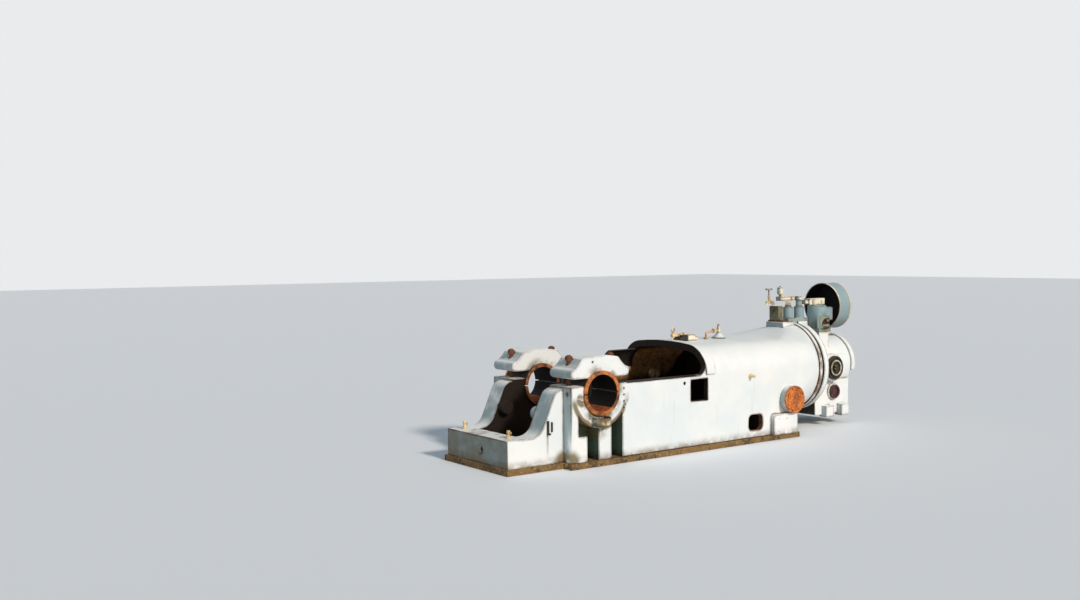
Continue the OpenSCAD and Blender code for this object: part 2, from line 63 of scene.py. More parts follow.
# Corners nearer than this are one, and faces that meet at less than this are one flat face.
WELD = 1e-5
FLAT = math.radians(0.5)

# Rounding is tried at these shares of its width, until less than FOLD of folded area is left.
TRIALS = (1.0, 1.0, 1.0, 0.8, 0.6, 0.4, 0.2)
FOLD = 3e-5

# The share of FOLD, or of a face, that is too small to count.
SLIVER = 0.1

# A corner that turns by more than SPIKE is folded, edges at a corner under KEEN stay sharp, and so
# do those within this many widths of a folded corner.
SPIKE = math.radians(110)
KEEN = math.radians(25)
SPARED_WIDTHS = 1.7

# How full the rounding is: 0.5 is a quarter circle.
ROUND_PROFILE = 0.6

# Faces that meet at less than this are shaded as one.
SMOOTH = math.radians(38)

# A nut's outline has this many points. Its chamfers are a share of its height, and its foot and
# top are cut to shares of its width over the corners.
NUT_SIDES = 36
NUT_CHAMFER = 0.16
NUT_FOOT = 0.93
NUT_TOP = 0.86

# A worn edge is looked for with this many rays, and a turn of the surface counts this much.
EDGE_SAMPLES = 6
EDGE_GAIN = 5.0

# Places that oil, soil and rust have spread from, in X and Z, in X alone or in Z alone.
SHAFT = (0.0, 0.40)
PIT = (0.02, 0.24)
CATCHER = (-0.02, 0.24)
PEDESTAL_FOOT = (-0.205, 0.045)
KNOB = (-0.132, 0.372)
HAND_HOLE = (1.212, 0.124)
HOOK_X = -0.311
LUG_X = 1.45
JOINT_X = 1.905
JOINT_Z = 0.38

Point = tuple[float, float, float]
Box = tuple[Point, Point]
Colour = tuple[float, float, float]
Outline = Sequence[tuple[float, float]]


@lru_cache(maxsize=None)
def span(node: str) -> Box:
    """The lower and upper corner of a CAD node's box, asked for once."""
    low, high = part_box(node)
    return tuple(low), tuple(high)


def middle(node: str) -> Vector:
    """The middle of a CAD node's box."""
    low, high = span(node)
    return (Vector(low) + Vector(high)) / 2


AXIS_Z = sum(corner[2] for corner in span("cylinder_liner")) / 2
CROWN = span("housing")[1][2]
BACK_END = span("near_rear_wall")[1][0]


def from_shaft(place: Vector) -> float:
    """How far a place is from the crankshaft's axis."""
    return math.hypot(place.x, place.z - AXIS_Z)


def from_bore(place: Vector) -> float:
    """How far a place is from the cylinder's axis."""
    return math.hypot(place.y, place.z - AXIS_Z)


def within(place: Sequence[float], low: Point, high: Point) -> bool:
    """Whether a place is inside the box between two corners."""
    return all(least < here < most for least, here, most in zip(low, place, high))


class Side(Enum):
    """A side of the engine, by the word that its nodes start with."""

    NEAR = "near"
    FAR = "far"


class Join(Enum):
    """How one solid is joined with another."""

    ADD = "UNION"
    CUT = "DIFFERENCE"
    KEEP = "INTERSECT"


class Axis(Enum):
    """The direction that a turned piece or a prism runs in; NEAR is against Y."""

    X = 0
    Z = 1
    NEAR = 2

    def matrix(self, place: Point) -> Matrix:
        """The matrix that lays a piece built along +Z on this axis, from a place.

        Args:
            place: Where the piece's own origin goes.

        Returns:
            The turn and the move in one matrix.
        """
        turns = {
            Axis.X: Matrix.Rotation(math.pi / 2, 4, "Y"),
            Axis.Z: Matrix.Identity(4),
            Axis.NEAR: Matrix.Rotation(math.pi / 2, 4, "X"),
        }
        return Matrix.Translation(place) @ turns[self]


def tint(code: str) -> Colour:
    """The linear colour of a six-digit screen colour.

    Args:
        code: The colour as in a web page, without its hash.

    Returns:
        Red, green and blue as Blender's sockets take them.
    """
    parts = [int(code[i : i + 2], 16) / 255 for i in (0, 2, 4)]
    return tuple(p / 12.92 if p <= 0.04045 else ((p + 0.055) / 1.055) ** 2.4 for p in parts)


class Value:
    """A shader socket that can be used in Python sums."""

    def __init__(self, shader: "Shader", socket: bpy.types.NodeSocket) -> None:
        """Keeps the socket and the tree that it belongs to."""
        self.shader = shader
        self.socket = socket

    def _sum(self, operation: str, first: "Term", second: "Term") -> "Value":
        """Adds one Math node for an operation on two terms."""
        return self.shader.node("ShaderNodeMath", {"operation": operation}, {0: first, 1: second})

    def __add__(self, other: "Term") -> "Value":
        """This value plus another."""
        return self._sum("ADD", self, other)

    def __radd__(self, other: "Term") -> "Value":
        """Another value plus this one."""
        return self._sum("ADD", other, self)

    def __sub__(self, other: "Term") -> "Value":
        """This value less another."""
        return self._sum("SUBTRACT", self, other)

    def __rsub__(self, other: "Term") -> "Value":
        """Another value less this one."""
        return self._sum("SUBTRACT", other, self)

    def __mul__(self, other: "Term") -> "Value":
        """This value times another."""
        return self._sum("MULTIPLY", self, other)

    def __rmul__(self, other: "Term") -> "Value":
        """Another value times this one."""
        return self._sum("MULTIPLY", other, self)

    def __pow__(self, other: "Term") -> "Value":
        """This value to a power."""
        return self._sum("POWER", self, other)

    def __rpow__(self, other: "Term") -> "Value":
        """Another value to the power of this one."""
        return self._sum("POWER", other, self)

    def larger(self, other: "Term") -> "Value":
        """The larger of this value and another."""
        return self._sum("MAXIMUM", self, other)

    def smaller(self, other: "Term") -> "Value":
        """The smaller of this value and another."""
        return self._sum("MINIMUM", self, other)

    def size(self) -> "Value":
        """This value without its sign."""
        return self._sum("ABSOLUTE", self, 0.0)

    def rise(self, low: float, high: float) -> "Value":
        """A smooth step from 0 at low to 1 at high; with low above high it falls.

        Args:
            low: Where the step gives 0.
            high: Where the step gives 1.

        Returns:
            The step, held between 0 and 1.
        """
        settings = {"interpolation_type": "SMOOTHSTEP"}
        return self.shader.node("ShaderNodeMapRange", settings, {0: self, 1: low, 2: high, 3: 0.0, 4: 1.0})


Term = Union[Value, float]


class Shader:
    """The node tree of a material or a world, with its measuring and pattern nodes."""

    def __init__(self, owner: Union[bpy.types.Material, bpy.types.World]) -> None:
        """Starts an empty tree in a new material or world."""
        self.owner = owner
        owner.use_nodes = True
        self.tree = owner.node_tree
        self.tree.nodes.clear()

    @cached_property
    def place(self) -> Value:
        """The place on the surface, in metres."""
        return self.node("ShaderNodeTexCoord", {}, {}, "Object")

    @cached_property
    def normal(self) -> Value:
        """The way that the surface faces."""
        return self.node("ShaderNodeNewGeometry", {}, {}, "Normal")

    def added(self, kind: str, settings: dict, inputs: dict) -> bpy.types.Node:
        """Adds a node of any kind.

        Args:
            kind: The node's type name.
            settings: What is set on the node itself before its sockets.
            inputs: Numbers, colours or values by socket name or index.

        Returns:
            The node.
        """
        made = self.tree.nodes.new(kind)
        for key, setting in settings.items():
            setattr(made, key, setting)
        for key, term in inputs.items():
            if isinstance(term, Value):
                self.tree.links.new(term.socket, made.inputs[key])
            elif isinstance(term, tuple) and made.inputs[key].type == "RGBA":
                made.inputs[key].default_value = (*term, 1.0)
            else:
                made.inputs[key].default_value = term
        return made

    def node(self, kind: str, settings: dict, inputs: dict, output: Union[int, str] = 0) -> Value:
        """Adds a node of any kind for the sake of one output, by its name or index."""
        return Value(self, self.added(kind, settings, inputs).outputs[output])

    def part(self, letter: str, vector: Optional[Value] = None) -> Value:
        """One coordinate of the place on the surface, or of another vector.

        Args:
            letter: X, Y or Z.
            vector: The vector; the place on the surface where none is given.

        Returns:
            The coordinate in metres.
        """
        return self.node("ShaderNodeSeparateXYZ", {}, {0: vector or self.place}, letter)

    def stretched(self, x: float, y: float, z: float) -> Value:
        """The place on the surface with each coordinate times its own factor."""
        return self.node("ShaderNodeVectorMath", {"operation": "MULTIPLY"}, {0: self.place, 1: (x, y, z)})

    def noise(
        self,
        scale: float,
        detail: float = 5.0,
        rough: float = 0.55,
        place: Optional[Value] = None,
    ) -> Value:
        """A cloudy pattern between 0 and 1.

        Args:
            scale: How many clouds there are in a metre.
            detail: How many finer layers it has.
            rough: How strong the finer layers are.
            place: The coordinates; the place on the surface where none are given.

        Returns:
            The pattern.
        """
        inputs = {"Vector": place or self.place, "Scale": scale, "Detail": detail, "Roughness": rough}
        return self.node("ShaderNodeTexNoise", {}, inputs)

    def cells(self, scale: float) -> Value:
        """The distance to the nearest of many scattered points, in cells."""
        return self.node("ShaderNodeTexVoronoi", {}, {"Vector": self.place, "Scale": scale})

    def mixed(self, share: Term, first: Union[Value, Colour], second: Union[Value, Colour]) -> Value:
        """A colour between two others.

        Args:
            share: 0 for the first colour and 1 for the second.
            first: The colour at 0.
            second: The colour at 1.

        Returns:
            The mixed colour.
        """
        settings = {"data_type": "RGBA", "clamp_factor": True}
        return self.node("ShaderNodeMix", settings, {0: share, 6: first, 7: second}, 2)

    def edges(self, reach: float) -> Value:
        """How near the surface is to a sharp edge, from 0 to about 1.

        Args:
            reach: How far from the edge it shows, in metres.

        Returns:
            The nearness.
        """
        rounded = self.node("ShaderNodeBevel", {"samples": EDGE_SAMPLES}, {"Radius": reach})
        settings = {"operation": "DOT_PRODUCT"}
        same = self.node("ShaderNodeVectorMath", settings, {0: rounded, 1: self.normal}, "Value")
        return ((1.0 - same) * EDGE_GAIN).smaller(1.0)

    def near_axis(self, x: float, z: float) -> Value:
        """The distance from a line along Y through a place in X and Z, in metres."""
        along = self.part("X") - x
        up = self.part("Z") - z
        return (along * along + up * up) ** 0.5

    def bump(self, height: Value, depth: float, strength: float, under: Optional[Value] = None) -> Value:
        """A normal that follows a height pattern.

        Args:
            height: The pattern.
            depth: What a height of 1 stands for, in metres.
            strength: The share of it that shows.
            under: A normal that this one is added to.

        Returns:
            The normal.
        """
        inputs = {"Strength": strength, "Distance": depth, "Height": height}
        if under:
            inputs["Normal"] = under
        return self.node("ShaderNodeBump", {}, inputs)

    def finish(self, **sockets: Union[Term, Colour]) -> bpy.types.Material:
        """Ends the tree in a Principled shader.

        Args:
            **sockets: What its sockets take, with _ for a space in a name.

        Returns:
            The finished material.
        """
        inputs = {name.replace("_", " "): term for name, term in sockets.items()}
        surface = self.node("ShaderNodeBsdfPrincipled", {}, inputs)
        self.added("ShaderNodeOutputMaterial", {}, {"Surface": surface})
        return self.owner


@dataclass(frozen=True)
class Finish:
    """A finish of one kind; its material is made once and shared."""

    name: str
    slot: str

    def material(self) -> bpy.types.Material:
        """The finish's material, made when it is first asked for."""
        kept = bpy.data.materials.get(self.name)
        return kept or self.dress(Shader(bpy.data.materials.new(self.name)))

    def dress(self, shader: Shader) -> bpy.types.Material:
        """Builds the material; each kind of finish has its own."""
        raise NotImplementedError


@dataclass(frozen=True)
class WornPaint(Finish):
    """Old pale paint on a sand casting, chipped at its edges, with soil, oil and rust on it, and painted
    shade on its faces that face -X or down.
    """

    coat: Colour = tint("ebebe8")
    cool: Colour = tint("d6dfe2")
    warm: Colour = tint("e8e0cb")
    # The blue-grey painted shade on faces that face -X.
    painted_shade: Colour = tint("83999b")
    soil: Colour = tint("7b6c52")
    rust: Colour = tint("8a4a22")
    bare: Colour = tint("2a221c")
    oil: Colour = tint("6f5f36")
    rubbed: Colour = tint("cdbf94")
    rust_run: Colour = tint("8f5526")
    chips: float = 1.0
    # How strong the soil, the stains and the painted shade are.
    grime_and_shade: float = 1.0

    def dress(self, shader: Shader) -> bpy.types.Material:
        """Builds the coat, its soil and painted shade, the local stains and the chips."""
        clouds = shader.noise(2.6, 4.0)
        blots = shader.noise(13.0, 7.0, 0.62)
        grain = shader.noise(70.0, 5.0, 0.6)
        edge = shader.edges(0.020)
        up = shader.part("Z", shader.normal)

        colour = shader.mixed(clouds.rise(0.35, 0.68) * 0.75, self.coat, self.cool)
        colour = shader.mixed(blots.rise(0.52, 0.74) * 0.30, colour, self.warm)
        colour = shader.mixed(grain.rise(0.62, 0.80) * 0.16 * self.grime_and_shade, colour, self.soil)
        colour = shader.mixed(edge * blots.rise(0.30, 0.55) * 0.55, colour, self.rubbed)

        # Faces that face -X get the blue-grey painted shade in clouds, and the front end face gets more of
        # it.
        facing = shader.part("X", shader.normal)
        ahead = facing.rise(-0.80, -0.97) * shader.part("X").rise(-0.50, -0.54)
        painted_shade = facing.rise(-0.40, -0.90) * ((clouds + blots).rise(0.5, 1.0) * 0.85 + ahead * 0.45)
        colour = shader.mixed(painted_shade.smaller(0.95), colour, self.painted_shade)
        soil_and_shade = self.soil_and_shade(shader, up, ahead, clouds, blots)
        colour = shader.mixed(soil_and_shade, colour, self.soil)
        stained = self.stained(shader, blots)
        colour = shader.mixed(stained, colour, self.oil)
        rusted = self.rusted(shader, blots, edge)
        colour = shader.mixed(rusted, colour, self.rust_run)

        patches = shader.noise(5.0, 4.0).rise(0.36, 0.60)
        worked = shader.near_axis(*PIT).rise(0.42, 0.28) * edge * 0.16
        wear = edge * (0.13 + patches * 0.67) + blots * 0.50 + grain * 0.34 + stained * 0.08 + worked
        wear = wear * self.chips
        halo = wear.rise(0.590, 0.640)
        chip = wear.rise(0.632, 0.656)
        colour = shader.mixed(halo * 0.7, colour, shader.mixed(grain, self.rust, self.soil))
        colour = shader.mixed(chip, colour, shader.mixed(grain.rise(0.45, 0.62), self.bare, self.rust))

        rough = 0.44 + blots * 0.18 + chip * 0.3 + soil_and_shade * 0.2 - stained * 0.12
        cast = shader.bump(shader.noise(9.0, 2.0), 0.004, 0.5)
        skin = shader.bump(shader.noise(140.0, 4.0, 0.6), 0.0008, 0.6, cast)
        worn = shader.bump(1.0 - chip, 0.0008, 0.9, skin)
        return shader.finish(Base_Color=colour, Roughness=rough, Normal=worn)

    def soil_and_shade(self, shader: Shader, up: Value, ahead: Value, clouds: Value, blots: Value) -> Value:
        """The soil on the paint, low down, in streaks and where dust settles, with painted shade on faces
        that face down and on the front end face.

        Args:
            shader: The material's tree.
            up: How far the surface faces up.
            ahead: How far it is on the front end, which faces away from the cylinder.
            clouds: The broad pattern.
            blots: The fine pattern.

        Returns:
            The share of soil and painted shade.
        """
        low = shader.part("Z").rise(0.085, 0.034) * blots.rise(0.30, 0.60) * 0.75
        runs = shader.noise(1.0, 6.0, 0.6, shader.stretched(30.0, 30.0, 2.0))
        run = runs.rise(0.60, 0.76) * clouds.rise(0.42, 0.60) * up.size().rise(0.7, 0.3) * 0.28
        dust = up.rise(0.70, 0.97) * blots.rise(0.44, 0.68) * shader.part("Z").rise(0.56, 0.40) * 0.75
        # Faces that face down, and the front end face, are darkened here as painted shade.
        under = up.rise(-0.3, -0.9) * 0.45
        front = ahead * (0.25 + (blots * 0.6 + clouds * 0.4).rise(0.38, 0.62) * 0.50)
        return ((low + run + dust + under + front) * self.grime_and_shade).smaller(0.85)

    def stained(self, shader: Shader, blots: Value) -> Value:
        """Where old oil has stained the paint: round the bearings and at the joint.

        Args:
            shader: The material's tree.
            blots: The fine pattern.

        Returns:
            The share of oil.
        """
        below = shader.part("Z").rise(0.40, 0.34)
        bearing = shader.near_axis(*SHAFT)
        near_ring = bearing.rise(0.175, 0.125) * blots.rise(0.40, 0.62) * 0.8
        boss_rim = (bearing - 0.188).size().rise(0.022, 0.006) * blots.rise(0.30, 0.48) * below
        foot = shader.near_axis(*PEDESTAL_FOOT).rise(0.075, 0.025) * blots.rise(0.30, 0.50)
        knob = shader.near_axis(*KNOB).rise(0.046, 0.026) * blots.rise(0.34, 0.50)
        catcher = shader.near_axis(*CATCHER).rise(0.12, 0.04) * blots.rise(0.38, 0.60) * 0.8
        joint = (shader.part("X") - JOINT_X).size().rise(0.030, 0.006) * blots.rise(0.42, 0.60)
        joint_band = joint * (shader.part("Z") - JOINT_Z).size().rise(0.22, 0.08)
        return ((near_ring + boss_rim + knob + foot + catcher + joint_band * 1.2) * self.grime_and_shade).smaller(0.9)

    def rusted(self, shader: Shader, blots: Value, edge: Value) -> Value:
        """Where rust has run: under the hook, at the hand hole and on the foot lug.

        Args:
            shader: The material's tree.
            blots: The fine pattern.
            edge: The nearness of an edge.

        Returns:
            The share of rust.
        """
        x = shader.part("X")
        z = shader.part("Z")
        near = shader.part("Y").rise(-0.27, -0.30)
        hook = (x - HOOK_X).size().rise(0.011, 0.002) * z.rise(0.215, 0.19) * z.rise(0.05, 0.15) * 0.55
        hole = (x - HAND_HOLE[0]).size().rise(0.085, 0.060) * (z - HAND_HOLE[1]).size().rise(0.075, 0.050)
        spots = shader.cells(26.0).rise(0.16, 0.08)
        lug = (x - LUG_X).size().rise(0.13, 0.09) * z.rise(0.19, 0.15) * spots
        return ((hook * blots.rise(0.30, 0.52) + hole * edge + lug * 0.8) * near).smaller(0.9)


@dataclass(frozen=True)
class Iron(Finish):
    """Bare or rusty iron with blotches of a second colour."""

    ground: Colour = tint("7a6548")
    blotch: Colour = tint("4b3a2a")
    bloom: Colour = tint("9a5a2c")
    share: float = 0.4
    rough: float = 0.8
    metal: float = 0.0
    scale: float = 22.0
    depth: float = 0.0012

    def dress(self, shader: Shader) -> bpy.types.Material:
        """Builds the blotches, the bloom of rust and the scaly skin."""
        blots = shader.noise(self.scale, 7.0, 0.65)
        flakes = shader.noise(self.scale * 5.0, 5.0, 0.6)
        spots = shader.cells(self.scale * 3.0)
        edge = shader.edges(0.005)
        colour = shader.mixed(blots.rise(0.42, 0.62), self.ground, self.blotch)
        colour = shader.mixed(flakes.rise(0.50, 0.70) * self.share * 1.6, colour, self.bloom)
        colour = shader.mixed(spots.rise(0.16, 0.03) * 0.4, colour, self.blotch)
        colour = shader.mixed(edge * 0.4, colour, self.bloom)
        rough = (self.rough + (flakes - 0.5) * 0.3).smaller(1.0)
        normal = shader.bump(flakes, self.depth, 0.8, shader.bump(blots, self.depth * 2.5, 0.6))
        return shader.finish(Base_Color=colour, Roughness=rough, Metallic=self.metal, Normal=normal)


@dataclass(frozen=True)
class OldBronze(Finish):
    """Turned bronze, brass or copper, dulled, with oil in its low places."""

    bright: Colour = tint("c98a4a")
    dull: Colour = tint("8a5326")
    stain: Colour = tint("2c1b10")
    dirt: float = 0.6
    metal: float = 0.6

    def dress(self, shader: Shader) -> bpy.types.Material:
        """Builds the dull and bright patches and the oil stains."""
        clouds = shader.noise(18.0, 6.0, 0.6)
        marks = shader.noise(120.0, 4.0)
        edge = shader.edges(0.004)
        colour = shader.mixed(clouds.rise(0.38, 0.62), self.bright, self.dull)
        colour = shader.mixed(edge * 0.6, colour, self.bright)
        stained = shader.noise(9.0, 6.0, 0.65).rise(0.46, 0.66) * self.dirt
        colour = shader.mixed(stained, colour, self.stain)
        colour = shader.mixed(marks.rise(0.58, 0.74) * 0.45, colour, self.stain)
        rough = 0.36 + clouds * 0.25 + stained * 0.2
        normal = shader.bump(marks, 0.0006, 0.7, shader.bump(clouds, 0.0018, 0.5))
        return shader.finish(Base_Color=colour, Roughness=rough, Metallic=self.metal, Normal=normal)


@dataclass(frozen=True)
class OilyIron(Finish):
    """Unpainted iron inside the engine: brown scale under old black oil, with a painted pool of sunlight on
    the far inner wall.
    """

    # The two ground colours show mostly in the painted light patch and are made light for it.
    scale_and_light: Colour = tint("e8a86c")
    dark_scale_and_light: Colour = tint("ac7642")
    oil: Colour = tint("0e0b09")
    oiled: float = 1.0
    wet: float = 0.4

    def dress(self, shader: Shader) -> bpy.types.Material:
        """Builds the brown ground, the oil over it with a painted patch of light left bare, and its gloss.
        """
        clouds = shader.noise(4.5, 6.0, 0.6)
        flakes = shader.noise(45.0, 6.0, 0.65)
        along = shader.part("X")
        high = shader.part("Z")
        # A patch of the far inner wall facing -Y is left bare of oil and bright brown: a painted pool of
        # sunlight.
        painted_light_patch = along.rise(0.30, 0.50) * (along - high * 0.83 + clouds * 0.08).rise(0.90, 0.84)
        painted_light_patch = painted_light_patch * high.rise(0.34, 0.42) * high.rise(0.58, 0.54) * shader.part("Y").rise(0.10, 0.25)
        painted_light_patch = painted_light_patch * shader.part("Y", shader.normal).rise(-0.30, -0.60)
        oil = (1.0 - painted_light_patch * 0.92) * self.oiled + painted_light_patch * clouds.rise(0.44, 0.64) * 0.25
        colour = shader.mixed(flakes.rise(0.35, 0.70), self.scale_and_light, self.dark_scale_and_light)
        colour = shader.mixed(oil.smaller(0.985), colour, self.oil)
        rough = (0.86 - oil * self.wet * 0.6 + flakes * 0.15).larger(0.3)
        normal = shader.bump(flakes, 0.0012, 0.7, shader.bump(clouds, 0.004, 0.4))
        return shader.finish(Base_Color=colour, Roughness=rough, Specular_IOR_Level=0.2, Normal=normal)


PAINT = WornPaint("pale_paint", "paint")
SMOOTH_PAINT = WornPaint("smooth_paint", "paint", chips=0.84)
CREAM = WornPaint(
    "worn_cream",
    "cream_paint",
    coat=tint("efe6cc"),
    cool=tint("e2d8b8"),
    warm=tint("cdb98a"),
    chips=1.04,
    grime_and_shade=1.4,
)
# Cream paint with strong soil and strong painted shade, for the catchers.
CREAM_SOIL_AND_SHADE = WornPaint(
    "cream_soil_and_shade_paint",
    "cream_paint",
    coat=tint("ece5cc"),
    cool=tint("d9cfae"),
    warm=tint("a8935e"),
    soil=tint("4e4226"),
    chips=1.13,
    grime_and_shade=2.4,
)
# The valve gear's paint, darker and bluer than the rest: painted shade.
SHADED_BLUE_PAINT = WornPaint(
    "shaded_blue_paint",
    "paint",
    coat=tint("879ea2"),
    cool=tint("85999f"),
    warm=tint("b0b5a2"),
    soil=tint("5f6049"),
    grime_and_shade=1.2,
)
SOLE_IRON = Iron(
    "sole_iron", "bare_iron", tint("7c5e35"), tint("403019"), tint("b59a6c"),
    share=0.36, rough=0.88, scale=14.0,
)
COLLAR_PAINT = WornPaint(
    "collar_paint",
    "paint",
    coat=tint("8d9276"),
    cool=tint("77806a"),
    warm=tint("a39a68"),
    soil=tint("4a452c"),
    grime_and_shade=1.4,
)
BRACKET_IRON = Iron(
    "bracket_iron", "bare_iron", tint("75735a"), tint("3f3c30"), tint("8c6a45"),
    share=0.45, rough=0.75,
)
RUST = Iron(
    "rust", "rusty_iron", tint("6b442c"), tint("3d2318"), tint("a8632f"),
    share=0.40, rough=0.92, scale=40.0,
)
BRIGHT_RUST = Iron(
    "bright_rust", "rusty_iron", tint("cf6f28"), tint("94481a"), tint("e8b070"),
    share=0.42, rough=0.9, scale=13.0, depth=0.002,
)
HOT_RUST = Iron(
    "hot_rust", "rusty_iron", tint("9c4a1e"), tint("4a2210"), tint("d0702e"),
    share=0.5, rough=0.8, scale=26.0,
)
RED_IRON = Iron(
    "red_iron", "rusty_iron", tint("4a2426"), tint("24161a"), tint("7a3c30"),
    share=0.4, rough=0.7, scale=40.0,
)
DARK_IRON = Iron(
    "dark_iron", "oily_iron", tint("2e2a25"), tint("171513"), tint("5a4a38"),
    share=0.35, rough=0.6, metal=0.2, scale=30.0,
)
WORN_RING = Iron(
    "worn_ring", "bare_iron", tint("cfc6a8"), tint("8a7f62"), tint("a08a5c"),
    share=0.4, rough=0.6, metal=0.2, scale=40.0,
)
BRONZE = OldBronze(
    "old_bronze", "bronze", tint("d07c3a"), tint("96562a"), tint("2a150b"),
    dirt=0.85, metal=0.1,
)
BRASS = OldBronze(
    "old_brass", "brass", tint("ecd2a0"), tint("b8935a"), tint("3a2a14"),
    dirt=0.42, metal=0.35,
)
COPPER = OldBronze(
    "copper", "brass", tint("efcdb8"), tint("c98f70"), tint("6a4030"),
    dirt=0.30, metal=0.3,
)
INSIDE = OilyIron("inside_of_bed", "oily_iron")
BORE = OilyIron("bore_iron", "oily_iron", tint("3a2f26"), tint("211b17"), tint("0b0908"), wet=0.3)
# Dark green paint for the pedestal pockets: oil and painted shade.
POCKET_SHADE = WornPaint(
    "pocket_shade_paint",
    "paint",
    coat=tint("6c7d6a"),
    cool=tint("4a5c4b"),
    warm=tint("5a583c"),
    painted_shade=tint("56685a"),
    soil=tint("2c2a1d"),
    grime_and_shade=1.7,
)


class Solid:
    """A mesh under construction, in metres, in its own place in the frame."""

    def __init__(self) -> None:
        """Starts with nothing in it."""
        self.mesh = bmesh.new()

    @classmethod
    def copied(cls, node: str) -> "Solid":
        """A copy of a CAD node with its flat faces made whole."""
        made = cls()
        made.mesh.from_mesh(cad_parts[node].data)
        made.welded(WELD).flattened()
        for face in made.mesh.faces:
            face.material_index = 0
        return made

    def welded(self, reach: float) -> "Solid":
        """Joins corners nearer to each other than a reach."""
        bmesh.ops.remove_doubles(self.mesh, verts=self.mesh.verts, dist=reach)
        return self

    def flattened(self) -> "Solid":
        """Makes each flat face whole."""
        verts, edges = self.mesh.verts, self.mesh.edges
        bmesh.ops.dissolve_limit(self.mesh, angle_limit=FLAT, verts=verts, edges=edges, delimit=set())
        return self

    def prism(self, outline: Outline, depth: float, axis: Axis, place: Point) -> "Solid":
        """Adds an outline drawn in the first two coordinates and pushed along an axis.

        Args:
            outline: The corners, anticlockwise.
            depth: How far it is pushed.
            axis: The axis.
            place: Where the outline's origin goes.

        Returns:
            This solid.
        """
        corners = [self.mesh.verts.new((u, v, 0.0)) for u, v in outline]
        base = self.mesh.faces.new(corners)
        pushed = bmesh.ops.extrude_face_region(self.mesh, geom=[base], use_keep_orig=True)["geom"]
        moved = [item for item in pushed if isinstance(item, bmesh.types.BMVert)]
        bmesh.ops.translate(self.mesh, verts=moved, vec=(0.0, 0.0, depth))
        bmesh.ops.transform(self.mesh, matrix=axis.matrix(place), verts=corners + moved)
        bmesh.ops.recalc_face_normals(self.mesh, faces=self.mesh.faces)
        return self

    def box(self, low: Point, high: Point) -> "Solid":
        """Adds a block between two corners."""
        outline = [(low[0], low[1]), (high[0], low[1]), (high[0], high[1]), (low[0], high[1])]
        return self.prism(outline, high[2] - low[2], Axis.Z, (0.0, 0.0, low[2]))

    def lathe(self, profile: Outline, axis: Axis, place: Point, sides: int = 48) -> "Solid":
        """Adds a turned piece.

        Args:
            profile: Radius and height of each point, from the foot's middle to the top's middle.
            axis: The axis that it is turned round.
            place: Where its foot stands.
            sides: How many sides it has round it.

        Returns:
            This solid.
        """
        turns = [FULL_TURN * i / sides for i in range(sides)]
        rings = []
        for radius, height in profile:
            points = [(radius * math.cos(turn), radius * math.sin(turn), height) for turn in turns]
            rings.append([self.mesh.verts.new(point) for point in (points if radius > WELD else points[:1])])
        for below, above in zip(rings, rings[1:]):
            self._join_rings(below, above)
        made = [vertex for ring in rings for vertex in ring]
        bmesh.ops.transform(self.mesh, matrix=axis.matrix(place), verts=made)
        bmesh.ops.recalc_face_normals(self.mesh, faces=self.mesh.faces)
        return self

    def _join_rings(self, below: list, above: list) -> None:
        """Closes the gap between two rings; a ring of one vertex is a pole."""
        count = max(len(below), len(above))
        if count == 1:
            return
        for i in range(count):
            after = (i + 1) % count
            steps = ((below, i), (below, after), (above, after), (above, i))
            corners = [ring[step % len(ring)] for ring, step in steps]
            self.mesh.faces.new(list(dict.fromkeys(corners)))

    def loft(self, rings: Sequence[Sequence[Point]]) -> "Solid":
        """Adds a skin through rings of points, closed at its two ends.

        Args:
            rings: The rings, each with the same number of points.

        Returns:
            This solid.
        """
        made = [[self.mesh.verts.new(point) for point in ring] for ring in rings]
        for below, above in zip(made, made[1:]):
            self._join_rings(below, above)
        self.mesh.faces.new(made[0])
        self.mesh.faces.new(made[-1])
        bmesh.ops.recalc_face_normals(self.mesh, faces=self.mesh.faces)
        return self

    def tube(self, path: Sequence[Point], radius: float, sides: int = 16) -> "Solid":
        """Adds a round bar along a path of points.

        Args:
            path: The points that its middle follows.
            radius: Its radius.
            sides: How many sides it has round it.

        Returns:
            This solid.
        """
        points = [Vector(point) for point in path]
        turns = [FULL_TURN * k / sides for k in range(sides)]
        side = (points[1] - points[0]).normalized().orthogonal().normalized()
        rings = []
        for i, point in enumerate(points):
            ahead = (points[min(i + 1, len(points) - 1)] - points[max(i - 1, 0)]).normalized()
            side = (side - ahead * side.dot(ahead)).normalized()
            over, up = side * radius, ahead.cross(side) * radius
            rings.append([tuple(point + over * math.cos(turn) + up * math.sin(turn)) for turn in turns])
        return self.loft(rings)

    def hex_nut(self, across: float, height: float, axis: Axis, place: Point, turn: float = 0.0) -> "Solid":
        """Adds a hexagonal nut or head with its corners turned off.

        Args:
            across: The size across its flats.
            height: Its height.
            axis: The axis of its thread.
            place: Where its underside stands.
            turn: How far it is turned, in degrees.

        Returns:
            This solid.
        """
        corner = across / math.sqrt(3)
        lift = NUT_CHAMFER * height
        levels = [(0.0, NUT_FOOT), (lift, 1.0), (height - lift, 1.0), (height, NUT_TOP)]
        matrix = axis.matrix(place) @ Matrix.Rotation(math.radians(turn), 4, "Z")
        rings = []
        for level, share in levels:
            ring = []
            for i in range(NUT_SIDES):
                angle = FULL_TURN * i / NUT_SIDES
                from_middle = (angle % (FULL_TURN / 6)) - FULL_TURN / 12
                radius = min(across / 2 / math.cos(from_middle), corner * share)
                point = Vector((radius * math.cos(angle), radius * math.sin(angle), level))
                ring.append(tuple(matrix @ point))
            rings.append(ring)
        return self.loft(rings)

